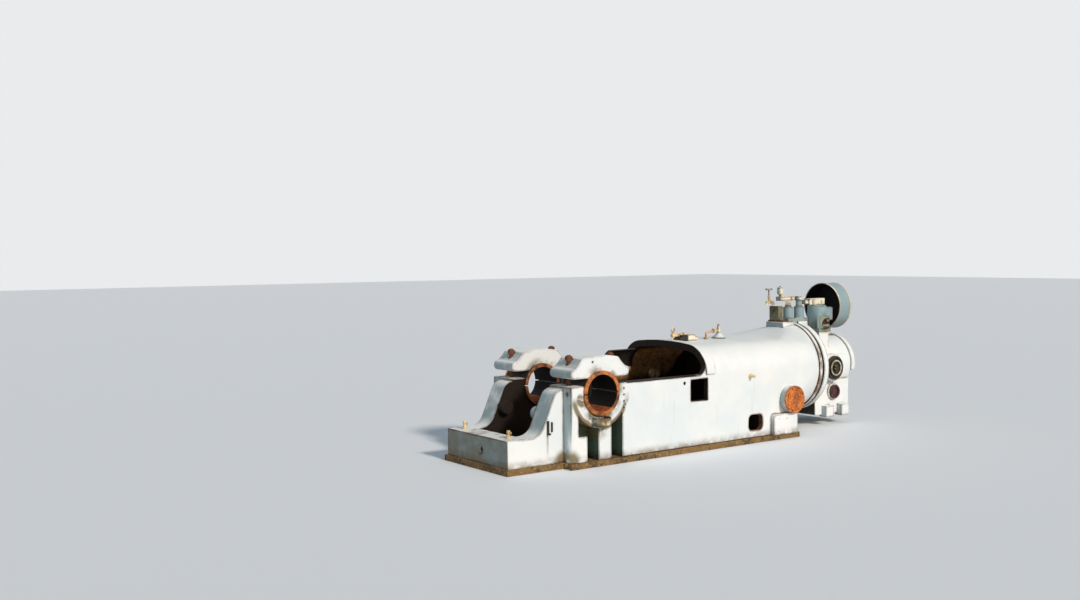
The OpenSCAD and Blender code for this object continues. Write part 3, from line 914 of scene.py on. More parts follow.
    def combined(self, other: "Solid", how: Join) -> "Solid":
        """Joins or cuts this solid with another.

        Args:
            other: The other solid.
            how: Whether the other is added, cut away or the share of both kept.

        Returns:
            This solid.
        """
        first = self.as_object("first")
        second = other.as_object("second")
        modifier = first.modifiers.new("combine", "BOOLEAN")
        modifier.object = second
        modifier.operation = how.value
        modifier.solver = "EXACT"
        modifier.use_self = True
        bpy.context.view_layer.update()
        result = first.evaluated_get(bpy.context.evaluated_depsgraph_get()).to_mesh()
        self.mesh.free()
        self.mesh = bmesh.new()
        self.mesh.from_mesh(result)
        for item in (first, second):
            data = item.data
            bpy.data.objects.remove(item)
            bpy.data.meshes.remove(data)
        return self

    def as_object(self, name: str) -> bpy.types.Object:
        """A scene object with this solid's mesh."""
        data = bpy.data.meshes.new(name)
        self.mesh.to_mesh(data)
        item = bpy.data.objects.new(name, data)
        bpy.context.scene.collection.objects.link(item)
        return item

    def cleaned(self) -> "Solid":
        """Tidies the mesh after a join: close corners, empty edges, flat faces and normals."""
        self.welded(WELD * 5)
        bmesh.ops.dissolve_degenerate(self.mesh, edges=self.mesh.edges, dist=WELD)
        self.flattened()
        bmesh.ops.recalc_face_normals(self.mesh, faces=self.mesh.faces)
        return self

    def rounded(self, width: float, segments: int = 2, over: float = 28.0, close: float = 0.0) -> "Solid":
        """Rounds the edges that turn by more than an angle.

        Where the rounding would fold faces back on themselves, the edges there are spared, and then
        it is tried narrower. The trial with the least folded area is kept.

        Args:
            width: How far the rounding reaches from the edge.
            segments: How many steps it has.
            over: The angle in degrees.
            close: Corners nearer to each other than this are joined first.

        Returns:
            This solid.
        """
        if close:
            self.welded(close)
            bmesh.ops.dissolve_degenerate(self.mesh, edges=self.mesh.edges, dist=WELD)
        spared: list[Vector] = []
        best, least = self.mesh.copy(), math.inf
        for share in TRIALS:
            trial = self.mesh.copy()
            self._bevelled(trial, width * share, segments, math.radians(over), spared)
            area, points = self._folds(trial)
            spared.extend(points)
            best, other, least = (trial, best, area) if area < least else (best, trial, least)
            other.free()
            if least < FOLD:
                break
        self.mesh.free()
        self.mesh = best
        return self

    def _bevelled(
        self,
        mesh: bmesh.types.BMesh,
        width: float,
        segments: int,
        limit: float,
        spared: Sequence[Vector],
    ) -> None:
        """Bevels edges of a mesh.

        Args:
            mesh: The mesh.
            width: How far the bevel reaches from the edge.
            segments: How many steps it has.
            limit: Edges that turn by more than this are bevelled.
            spared: Points beside which no edge is.
        """
        near = KDTree(len(spared))
        for index, point in enumerate(spared):
            near.insert(point, index)
        near.balance()
        keen = set()
        for face in mesh.faces:
            for corner in face.loops:
                if corner.calc_angle() < KEEN:
                    keen.update((corner.edge, corner.link_loop_prev.edge))
        chosen = [
            edge
            for edge in mesh.edges
            if len(edge.link_faces) == 2
            and edge not in keen
            and edge.calc_face_angle(0.0) > limit
            and not (spared and all(near.find(end.co)[2] < SPARED_WIDTHS * width for end in edge.verts))
        ]
        bmesh.ops.bevel(
            mesh,
            geom=chosen,
            offset=width,
            offset_type="OFFSET",
            segments=segments,
            profile=ROUND_PROFILE,
            affect="EDGES",
        )

    def _folds(self, mesh: bmesh.types.BMesh) -> tuple[float, list[Vector]]:
        """Finds where a mesh's faces are folded back on themselves.

        Args:
            mesh: The mesh.

        Returns:
            The folded area, and the corners at which it is folded.
        """
        mesh.normal_update()
        folded: dict[bmesh.types.BMFace, float] = {}
        for corners in mesh.calc_loop_triangles():
            first, second, third = (corner.vert.co for corner in corners)
            across = (second - first).cross(third - first)
            face = corners[0].face
            if across.dot(face.normal) < 0.5 * across.length:
                folded[face] = folded.get(face, 0.0) + across.length / 2
        points: list[Vector] = []
        for face, area in folded.items():
            if area < SLIVER * FOLD:
                continue
            whole = area > SLIVER * face.calc_area()
            for corner in face.loops:
                here = corner.vert.co
                before = here - corner.link_loop_prev.vert.co
                after = corner.link_loop_next.vert.co - here
                if whole or before.angle(after, 0.0) > SPIKE:
                    points.append(here.copy())
        return sum(folded.values()), points

    def piece(
        self,
        name: str,
        finish: Finish,
        *nodes: str,
        others: Sequence[tuple[Finish, Callable[[Vector, Vector], bool]]] = (),
    ) -> bpy.types.Object:
        """Ends the work: makes the scene object, dresses it and lets it ride on the frame.

        Args:
            name: The piece's name.
            finish: Its finish.
            *nodes: The CAD nodes that it stands for.
            others: More finishes, each with a test of a face's middle and normal.

        Returns:
            The object.
        """
        self.mesh.normal_update()
        for index, (_, test) in enumerate(others, start=1):
            for face in self.mesh.faces:
                if test(face.calc_center_median(), face.normal):
                    face.material_index = index
        for face in self.mesh.faces:
            face.smooth = True
        item = self.as_object(name)
        self.mesh.free()
        item.data.name = name
        for look in (finish, *(other for other, _ in others)):
            item.data.materials.append(look.material())
        item.data.set_sharp_from_angle(angle=SMOOTH)
        even = item.modifiers.new("even_normals", "WEIGHTED_NORMAL")
        even.keep_sharp = True
        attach(item, ROOT)
        if nodes:
            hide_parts(*nodes)
        LOG.info("%s: %d faces", name, len(item.data.polygons))
        return item


def dressed(node: str, finish: Finish) -> None:
    """Gives a CAD node that keeps its own shape a finish."""
    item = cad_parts[node]
    item.data.materials.clear()
    item.data.materials.append(finish.material())
    LOG.info("%s: kept from the frame", node)


@dataclass
class BedCasting:
    """The one large casting: ledge, walls, pedestals, housing and barrel, on its sole."""

    edge_round: float = 0.004
    sole_round: float = 0.003
    guard_round: float = 0.0012
    weld: float = 0.001
    skin: float = 0.002
    wall_t: float = 0.030
    pedestal_end: float = span("near_pedestal")[1][0]
    pit_wall: float = -span("near_pedestal")[1][1]
    deck: float = span("near_pedestal")[1][2]
    wall_y: float = span("far_rear_wall")[1][1] - wall_t
    shoulder: tuple[float, float] = (0.209, 0.445)
    inner_r: float = 0.130
    groove_x: float = span("cylinder_jacket")[1][0]
    mouth_x: float = 0.795
    mouth_lip: float = 0.003
    mouth_depth: float = 0.125
    boss: tuple[float, float] = (-0.269, 0.290)
    boss_r: float = 0.0395
    hand_hole_box: Box = ((1.150, -0.372, 0.074), (1.275, -0.335, 0.174))
    pocket_box: Box = ((-0.150, 0.270, 0.0322), (0.175, 0.365, 0.235))
    walls: tuple[str, ...] = (
        "front_ledge",
        "near_side_wall",
        "far_side_wall",
        "near_pedestal",
        "far_pedestal",
        "near_rear_wall",
        "far_rear_wall",
        "housing",
        "cylinder_jacket",
    )

    def build(self) -> None:
        """Joins and rounds the casting and dresses what stands in it."""
        joined = Solid.copied(self.walls[0])
        for node in self.walls[1:]:
            joined.combined(Solid.copied(node), Join.ADD)
        joined.cleaned().rounded(self.edge_round, close=self.weld)
        finishes = [
            (INSIDE, self.inside),
            (RUST, self.hand_hole),
            (DARK_IRON, self.joint_face),
            (POCKET_SHADE, self.shaded_pocket),
        ]
        joined.piece("bed_casting", PAINT, *self.walls, others=finishes)
        Solid.copied("sole").rounded(self.sole_round).piece("sole_plate", SOLE_IRON, "sole")
        for node in ("water_front_wall", "water_rear_wall"):
            dressed(node, INSIDE)
        dressed("cylinder_liner", BORE)
        # The guard is dressed black, partly as painted shade on the far side.
        guard = Solid.copied("splash_guard").rounded(self.guard_round)
        guard.piece("splash_guard_sheet", DARK_IRON, "splash_guard")
        self.build_bush()

    def inside(self, centre: Vector, normal: Vector) -> bool:
        """Whether a face is on the oily inside of the bed, the mouth's rim included, whose dark is partly
        painted shade.

        Args:
            centre: The face's middle.
            normal: The way it faces.

        Returns:
            True for the inside.
        """
        ledge_end = span("near_side_wall")[0][0] - self.skin
        if not ledge_end < centre.x < BACK_END:
            return False
        from_lip = self.mouth_x + self.mouth_lip - centre.x
        # The mouth's rim faces that face -X are dressed as the dark inside: oil and painted shade.
        if normal.x < -0.25 and 0.0 < from_lip < self.mouth_depth and centre.z > self.deck + 0.001:
            return True
        if centre.x < self.pedestal_end + self.skin:
            if math.hypot(centre.x - self.boss[0], centre.z - self.boss[1]) < self.boss_r:
                return centre.y > 0.0
            deep = abs(centre.y) < self.pit_wall + self.skin and centre.z < self.deck - 2 * self.skin
            return deep and abs(normal.x) < 0.99
        if normal.y * centre.y > 0.3 * abs(centre.y) and centre.x > self.mouth_x:
            return False
        over = abs(centre.y) > self.shoulder[0] and centre.z > self.shoulder[1]
        from_corner = math.hypot(abs(centre.y) - self.shoulder[0], centre.z - self.shoulder[1])
        if over and from_corner > self.inner_r:
            return False
        return abs(centre.y) < self.wall_y and centre.z < CROWN - self.wall_t

    def hand_hole(self, centre: Vector, normal: Vector) -> bool:
        """Whether a face is on the rusty rim of the hand hole."""
        return within(centre, *self.hand_hole_box)

    def shaded_pocket(self, centre: Vector, normal: Vector) -> bool:
        """Whether a face is in the pockets in the pedestals' sides, dressed dark for oil and painted shade.
        """
        return within((centre.x, abs(centre.y), centre.z), *self.pocket_box)

    def joint_face(self, centre: Vector, normal: Vector) -> bool:
        """Whether a face is the barrel's own face in the joint groove."""
        return centre.x > self.groove_x - self.weld

    def build_bush(self) -> None:
        """Builds the bush of the lever shaft on the far wall."""
        low, high = span("lever_bush")
        centre = middle("lever_bush")
        radius = (high[0] - low[0]) / 2
        depth = high[1] - low[1]
        profile = [
            (0.0, 0.0), (radius, 0.0), (radius, 0.006), (radius * 0.86, 0.010),
            (radius * 0.84, depth - 0.004), (radius * 0.78, depth), (radius * 0.50, depth),
            (radius * 0.45, depth - 0.004), (radius * 0.42, 0.012), (0.0, 0.012),
        ]
        ring = Solid().lathe(profile, Axis.NEAR, (centre.x, high[1], centre.z))
        ring.piece("lever_bush_ring", BRASS, "lever_bush")


@dataclass
class MainBearing:
    """One main bearing: cap, two shells, studs with nuts, and the catcher under it."""

    side: Side
    shell_round: float = 0.0022
    cap_round: float = 0.007
    oil_hole_r: float = 0.0045
    oil_hole_depth: float = 0.020
    oil_hole_x: float = -0.055
    oil_hole_drop: float = 0.034
    running_r: float = 0.1042
    running_foot_drop: float = 0.082
    back_r: float = 0.108
    back_y: float = 0.364
    stud_r: float = 0.0125
    stud_point: float = 0.003
    washer_r: float = 0.022
    washer_t: float = 0.003
    washer_edge: float = 0.0006
    washer_gap: float = 0.001
    nut_across: float = 0.036
    nut_h: float = 0.021
    nut_drop: float = 0.026
    nut_turns: tuple[float, float] = (17.0, 40.0)
    catcher_reach: float = 0.026
    hollow_r: float = 0.0452
    hollow_foot: float = 0.0085

    def node(self, part: str) -> str:
        """The name of this side's CAD node for a part."""
        return f"{self.side.value}_{part}"

    def build(self) -> None:
        """Builds every piece of the bearing."""
        self.build_cap()
        # The shells' inside and their outside under the cap are dark with oil and painted shade.
        worn = [(BORE, self.running_face), (HOT_RUST, self.running_foot), (DARK_IRON, self.back)]
        for half in ("upper", "lower"):
            shell = Solid.copied(self.node(f"{half}_shell")).rounded(self.shell_round)
            shell.piece(self.node(f"{half}_bronze"), BRONZE, self.node(f"{half}_shell"), others=worn)
        self.build_studs()
        self.build_catcher()

    def build_cap(self) -> None:
        """Builds the cap, with the oil hole in its outer face."""
        low, high = span(self.node("bearing_cap"))
        outer = low[1] if self.side is Side.NEAR else high[1]
        radius, depth = self.oil_hole_r, self.oil_hole_depth
        drill = [(0.0, -depth), (radius, -depth), (radius, depth), (0.0, depth)]
        hole = Solid().lathe(drill, Axis.NEAR, (self.oil_hole_x, outer, high[2] - self.oil_hole_drop), 20)
        cap = Solid.copied(self.node("bearing_cap")).combined(hole, Join.CUT)
        cap.cleaned().rounded(self.cap_round, 3)
        cap.piece(self.node("cap_casting"), PAINT, self.node("bearing_cap"))

    def running_face(self, centre: Vector, normal: Vector) -> bool:
        """Whether a face is on the worn inside of the shells, dressed dark for oil and painted shade."""
        return from_shaft(centre) < self.running_r and abs(normal.y) < 0.3

    def running_foot(self, centre: Vector, normal: Vector) -> bool:
        """Whether a face is at the rusty foot of the running surface."""
        return self.running_face(centre, normal) and centre.z < AXIS_Z - self.running_foot_drop

    def back(self, centre: Vector, normal: Vector) -> bool:
        """Whether a face is on the outside of the shells between their collars, dressed dark for oil and
        painted shade in the gap under the cap.
        """
        return from_shaft(centre) > self.back_r and abs(centre.y) < self.back_y

    def build_studs(self) -> None:
        """Builds the cap's two studs, their washers and their nuts."""
        node = self.node("cap_studs")
        low, high = span(node)
        centre = middle(node)
        seat = span(self.node("bearing_cap"))[1][2] - self.nut_drop
        reach = (high[0] - low[0]) / 2 - self.washer_r
        top = high[2] - low[2]
        stud_r, point = self.stud_r, self.stud_point
        rod = [(0.0, 0.0), (stud_r, 0.0), (stud_r, top - point), (stud_r - point, top), (0.0, top)]
        inner, outer, lift, edge = stud_r - self.washer_gap, self.washer_r, self.washer_t, self.washer_edge
        washer = [(inner, 0.0), (outer, 0.0), (outer, lift - edge), (outer - edge, lift), (inner, lift)]
        group = Solid()
        for way, turn in zip((-1.0, 1.0), self.nut_turns):
            x = way * reach
            group.lathe(rod, Axis.Z, (x, centre.y, low[2]), 20)
            group.lathe(washer + washer[:1], Axis.Z, (x, centre.y, seat), 28)
            group.hex_nut(self.nut_across, self.nut_h, Axis.Z, (x, centre.y, seat + lift), turn)
        group.welded(WELD).piece(self.node("studs_and_nuts"), RUST, node)

    def build_catcher(self) -> None:
        """Builds the cast catcher that hangs under the shell's collar."""
        node = self.node("oil_catcher")
        low, high = span(node)
        outer = max(abs(low[1]), abs(high[1]))
        reach = (high[0] - low[0]) / 2
        tall = high[2] - low[2]
        way = -1.0 if self.side is Side.NEAR else 1.0
        bowl = [
            (0.0, 0.0), (reach * 0.55, 0.0), (reach * 0.80, 0.006), (reach * 0.95, 0.017),
            (reach * 0.99, tall - 0.012), (reach, tall - 0.009), (reach, tall - 0.002),
            (reach - 0.002, tall), (reach - 0.007, tall), (reach - 0.009, tall - 0.003),
            (reach * 0.78, 0.016), (reach * 0.50, 0.010), (0.0, 0.009),
        ]
        cup = Solid().lathe(bowl, Axis.Z, ((low[0] + high[0]) / 2, way * (outer - reach), low[2]), 56)
        cup.combined(Solid().box(low, high), Join.KEEP).cleaned()
        hollow = [(DARK_IRON, self.catcher_inside)]
        cup.piece(self.node("catcher_casting"), CREAM_SOIL_AND_SHADE, node, others=hollow)

    def catcher_inside(self, centre: Vector, normal: Vector) -> bool:
        """Whether a face is in the catcher's hollow."""
        low, high = span(self.node("oil_catcher"))
        middle_x = (low[0] + high[0]) / 2
        outward = max(abs(corner[1]) for corner in span(self.node("pedestal"))) + self.catcher_reach
        from_middle = math.hypot(centre.x - middle_x, abs(centre.y) - outward)
        return from_middle < self.hollow_r and low[2] + self.hollow_foot < centre.z and normal.z > -0.1


@dataclass
class CylinderHead:
    """The head behind the joint: flange, body, end cover, plug and port."""

    flange_round: float = 0.005
    body_round: float = 0.009
    cover_round: float = 0.008
    joint_r: float = 0.270
    joint_t: float = 0.017
    gap_r: float = 0.188
    gap_t: float = 0.0165
    hexagon_across: float = 0.040
    hexagon_h: float = 0.0295
    inner_ring: tuple[float, float] = (0.0425, 0.0538)
    hexagon_ring: tuple[float, float] = (0.010, 0.024)

    def build(self) -> None:
        """Builds the head's castings and what is screwed into it."""
        flange = Solid.copied("head_flange").rounded(self.flange_round)
        flange.piece("head_flange_casting", PAINT, "head_flange", others=[(DARK_IRON, self.joint)])
        body = Solid.copied("head_body").rounded(self.body_round, 3)
        body.piece("head_casting", PAINT, "head_body", others=[(DARK_IRON, self.gap)])
        cover = Solid.copied("head_cover").rounded(self.cover_round, 3)
        cover.piece("head_cover_casting", PAINT, "head_cover")
        self.build_plug()
        self.build_port()

    def joint(self, centre: Vector, normal: Vector) -> bool:
        """Whether a face is in the joint groove or inside the cylinder."""
        return from_bore(centre) < self.joint_r and centre.x < span("head_flange")[0][0] + self.joint_t

    def gap(self, centre: Vector, normal: Vector) -> bool:
        """Whether a face is in the narrow gap between the flange and the body."""
        return from_bore(centre) < self.gap_r and centre.x < span("head_body")[0][0] + self.gap_t

    def build_plug(self) -> None:
        """Builds the ringed plug from its rings and its hexagon."""
        high = span("ringed_plug")[1]
        centre = middle("ringed_plug")
        place = (centre.x, high[1], centre.z)
        profile = [
            (0.0, 0.0), (0.0799, 0.0), (0.0799, 0.013), (0.0770, 0.016), (0.0690, 0.016),
            (0.0660, 0.013), (0.0655, 0.008), (0.0545, 0.008), (0.0540, 0.021), (0.0515, 0.024),
            (0.0445, 0.024), (0.0420, 0.021), (0.0415, 0.012), (0.0, 0.012),
        ]
        rings = Solid().lathe(profile, Axis.NEAR, place, 72)
        rings.hex_nut(self.hexagon_across, self.hexagon_h, Axis.NEAR, place, 12.0)
        rings.piece("ringed_plug_iron", DARK_IRON, "ringed_plug", others=[(WORN_RING, self.ring_face)])

    def ring_face(self, centre: Vector, normal: Vector) -> bool:
        """Whether a face is the worn front of the plug's inner ring or hexagon."""
        plug = middle("ringed_plug")
        from_axis = math.hypot(centre.x - plug.x, centre.z - plug.z)
        worn = any(low < from_axis < high for low, high in (self.inner_ring, self.hexagon_ring))
        return normal.y < -0.3 and worn

    def build_port(self) -> None:
        """Builds the flanged ring of the igniter's port."""
        high = span("igniter_port")[1]
        centre = middle("igniter_port")
        profile = [
            (0.0, 0.0), (0.0459, 0.0), (0.0459, 0.015), (0.0435, 0.018),
            (0.0365, 0.018), (0.0335, 0.015), (0.0325, 0.004), (0.0, 0.004),
        ]
        port = Solid().lathe(profile, Axis.NEAR, (centre.x, high[1], centre.z), 56)
        port.piece("igniter_port_iron", RED_IRON, "igniter_port")


@dataclass
class ValveGear:
    """What stands on the valve pad and on the head."""

    pad_round: float = 0.0015
    casting_round: float = 0.003
    inlet_round: float = 0.005
    bar_round: float = 0.004
    sunk: float = 0.0005
    plate_t: float = 0.022
    bolt_across: float = 0.017
    base_bolts: tuple[tuple[float, float], ...] = ((1.936, -0.060), (1.936, -0.006), (1.852, -0.062))
    spring_foot: tuple[float, float] = (1.884, -0.034)
    spring_lift: float = 0.076
    spring_gap: float = 0.003
    spring_r: float = 0.0165
    spring_wire_r: float = 0.0026
    spring_turns: float = 3.5
    spring_steps: int = 84
    inlet_middle: tuple[float, float] = (0.062, -0.100)
    inlet_bolts_r: float = 0.052
    inlet_bolts_at: tuple[float, ...] = (100.0, 190.0)
    collar_h: float = 0.097
    collar_y: float = -0.128
    port_middle: tuple[float, float] = (0.074, 0.044)
    port_r: float = 0.0385
    port_y: tuple[float, float] = (-0.181, -0.144)
    front_pins: tuple[float, float] = (span("front_rocker_bar")[0][0] + 0.016, 1.936)
    front_pin_y: float = -0.0195

    def build(self) -> None:
        """Builds the valve gear from the pad up."""
        Solid.copied("pad_plate").rounded(self.pad_round).piece("pad_gasket", RUST, "pad_plate")
        bracket = Solid.copied("valve_bracket").rounded(self.casting_round)
        bracket.piece("bracket_casting", BRACKET_IRON, "valve_bracket")
        self.build_cages()
        self.build_inlet()
        self.build_bars()
        self.build_cock()
        self.build_cup()
        self.build_drum()

    def build_cages(self) -> None:
        """Builds the two cages, their base plate's bolts and the spring under the bar."""
        cages = Solid.copied("valve_cages").rounded(self.casting_round)
        plate_top = span("valve_cages")[0][2] + self.plate_t
        for x, y in self.base_bolts:
            cages.hex_nut(self.bolt_across, 0.008, Axis.Z, (x, y, plate_top - self.sunk), 10.0)
        cages.piece("valve_cage_bodies", SHADED_BLUE_PAINT, "valve_cages")
        foot = Vector((*self.spring_foot, plate_top + self.spring_lift))
        height = span("front_rocker_bar")[0][2] - foot.z - self.spring_gap
        radius, steps = self.spring_r, self.spring_steps
        coil = []
        for i in range(steps + 1):
            angle = FULL_TURN * self.spring_turns * i / steps
            offset = Vector((radius * math.cos(angle), radius * math.sin(angle), height * i / steps))
            coil.append(tuple(foot + offset))
        Solid().tube(coil, self.spring_wire_r, 8).piece("valve_spring", BRASS)

    def build_inlet(self) -> None:
        """Builds the inlet body with its dark arched port and the two bolts on its top."""
        inlet = Solid.copied("inlet_body").rounded(self.inlet_round, 3)
        low, high = span("inlet_body")
        for angle in self.inlet_bolts_at:
            turn = math.radians(angle)
            x = low[0] + self.inlet_middle[0] + self.inlet_bolts_r * math.cos(turn)
            y = self.inlet_middle[1] + self.inlet_bolts_r * math.sin(turn)
            inlet.hex_nut(self.bolt_across, 0.007, Axis.Z, (x, y, high[2] - self.sunk), 20.0 + angle)
        finishes = [(COLLAR_PAINT, self.collar), (RED_IRON, self.in_port)]
        inlet.piece("inlet_casting", SHADED_BLUE_PAINT, "inlet_body", others=finishes)

    def collar(self, centre: Vector, normal: Vector) -> bool:
        """Whether a face is on the stained collar below the inlet."""
        return centre.z < span("inlet_body")[0][2] + self.collar_h and centre.y < self.collar_y

    def in_port(self, centre: Vector, normal: Vector) -> bool:
        """Whether a face is in the inlet's arched port."""
        low = span("inlet_body")[0]
        along = centre.x - (low[0] + self.port_middle[0])
        up = centre.z - (low[2] + self.port_middle[1])
        arched = math.hypot(along, up) < self.port_r and up > -0.001
        return arched and self.port_y[0] < centre.y < self.port_y[1]

    def build_bars(self) -> None:
        """Builds the two rocker bars with their pins."""
        front = Solid.copied("front_rocker_bar").rounded(self.bar_round, 3)
        low, high = span("front_rocker_bar")
        pin = [(0.0, 0.0), (0.009, 0.0), (0.009, 0.003), (0.007, 0.005), (0.0, 0.005)]
        for x in self.front_pins:
            front.lathe(pin, Axis.NEAR, (x, self.front_pin_y, (low[2] + high[2]) / 2), 20)
        front.piece("front_rocker", CREAM, "front_rocker_bar")
        rear = Solid.copied("rear_rocker_bar").rounded(self.bar_round, 3)
        low, high = span("rear_rocker_bar")
        for x in (low[0] + 0.075, high[0] - 0.030):
            rear.hex_nut(0.020, 0.006, Axis.NEAR, (x, low[1] + self.sunk, (low[2] + high[2]) / 2), 5.0)
        rear.piece("rear_rocker", CREAM, "rear_rocker_bar")

    def build_cock(self) -> None:
        """Builds the cock: post, body, spout, spindle and handle."""
        low, high = span("indicator_cock")
        y = (low[1] + high[1]) / 2
        z = low[2]
        post_x, stem_x, spout_x = high[0] - 0.010, low[0] + 0.031, low[0] + 0.009
        arm_z = z + 0.026
        post = [(0.0, 0.0), (0.0098, 0.0), (0.0098, 0.004), (0.007, 0.008), (0.007, 0.034), (0.0, 0.034)]
        cock = Solid().lathe(post, Axis.Z, (post_x, y, z), 24)
        cock.hex_nut(0.0185, 0.007, Axis.Z, (post_x, y, z + 0.010), 8.0)
        arm = [(0.0, 0.0), (0.0065, 0.0), (0.0078, 0.006), (0.0078, 0.066), (0.0065, 0.070), (0.0, 0.070)]
        cock.lathe(arm, Axis.X, (low[0] + 0.003, y, arm_z), 24)
        cock.hex_nut(0.0195, 0.010, Axis.X, (low[0] + 0.046, y, arm_z), 12.0)
        spout = [(0.0, 0.0), (0.0088, 0.0), (0.0088, 0.004), (0.0066, 0.008), (0.0066, 0.020), (0.0, 0.021)]
        cock.lathe(spout, Axis.Z, (spout_x, y, z + 0.010), 24)
        stem = [
            (0.0, 0.0), (0.0098, 0.0), (0.0098, 0.012), (0.0075, 0.016), (0.0075, 0.034),
            (0.0092, 0.036), (0.0092, 0.046), (0.0055, 0.050), (0.0055, 0.088), (0.0, 0.089),
        ]
        cock.lathe(stem, Axis.Z, (stem_x, y, z + 0.022), 24)
        cock.piece("cock", BRASS, "indicator_cock")
        handle = [
            (0.0, 0.0), (0.0060, 0.001), (0.0068, 0.005), (0.0050, 0.010),
            (0.0050, 0.048), (0.0068, 0.053), (0.0060, 0.057), (0.0, 0.058),
        ]
        grip = Solid().lathe(handle, Axis.X, (low[0] + 0.001, y, high[2] - 0.007), 20)
        spindle = [(0.0, 0.0), (0.0062, 0.0), (0.0062, 0.040), (0.0, 0.040)]
        grip.lathe(spindle, Axis.Z, (stem_x, y, high[2] - 0.052), 20)
        grip.piece("cock_handle", CREAM, "indicator_cock")

    def build_cup(self) -> None:
        """Builds the oil cup: foot, glass-shaped body and lid."""
        low = span("oil_cup")[0]
        centre = middle("oil_cup")
        profile = [
            (0.0, 0.0), (0.010, 0.0), (0.010, 0.004), (0.007, 0.007), (0.009, 0.012), (0.016, 0.016),
            (0.0198, 0.024), (0.0198, 0.046), (0.017, 0.054), (0.0185, 0.055), (0.0185, 0.059),
            (0.011, 0.063), (0.005, 0.064), (0.006, 0.067), (0.004, 0.070), (0.0, 0.070),
        ]
        Solid().lathe(profile, Axis.Z, (centre.x, centre.y, low[2]), 40).piece("cup", CREAM, "oil_cup")

    def build_drum(self) -> None:
        """Builds the open drum with its beaded rims."""
        low, high = span("air_drum")
        centre = middle("air_drum")
        radius = (high[2] - low[2]) / 2
        length = high[0] - low[0]
        profile = [
            (0.0, length - 0.006), (radius - 0.012, length - 0.006), (radius - 0.007, length - 0.012),
            (radius - 0.006, 0.010), (radius - 0.007, 0.005), (radius - 0.005, 0.001),
            (radius - 0.002, 0.0), (radius, 0.003), (radius, 0.009), (radius - 0.002, 0.012),
            (radius - 0.002, length - 0.012), (radius, length - 0.009), (radius, length - 0.003),
            (radius - 0.003, length), (0.0, length),
        ]
        drum = Solid().lathe(profile, Axis.X, (low[0], centre.y, centre.z), 112)
        drum.piece("drum", SHADED_BLUE_PAINT, "air_drum", others=[(BORE, self.in_drum), (CREAM, self.drum_bead)])

    def below_skin(self, centre: Vector) -> float:
        """How far a place is below the drum's outer skin."""
        low, high = span("air_drum")
        drum = middle("air_drum")
        return (high[2] - low[2]) / 2 - math.hypot(centre.y - drum.y, centre.z - drum.z)

    def in_drum(self, centre: Vector, normal: Vector) -> bool:
        """Whether a face is inside the drum."""
        low, high = span("air_drum")
        return low[0] + 0.004 < centre.x < high[0] - 0.002 and self.below_skin(centre) > 0.0055

    def drum_bead(self, centre: Vector, normal: Vector) -> bool:
        """Whether a face is on one of the drum's two worn beads."""
        low, high = span("air_drum")
        at_end = centre.x < low[0] + 0.0115 or high[0] - 0.0118 < centre.x < high[0] - 0.0005
        return at_end and self.below_skin(centre) < 0.0055


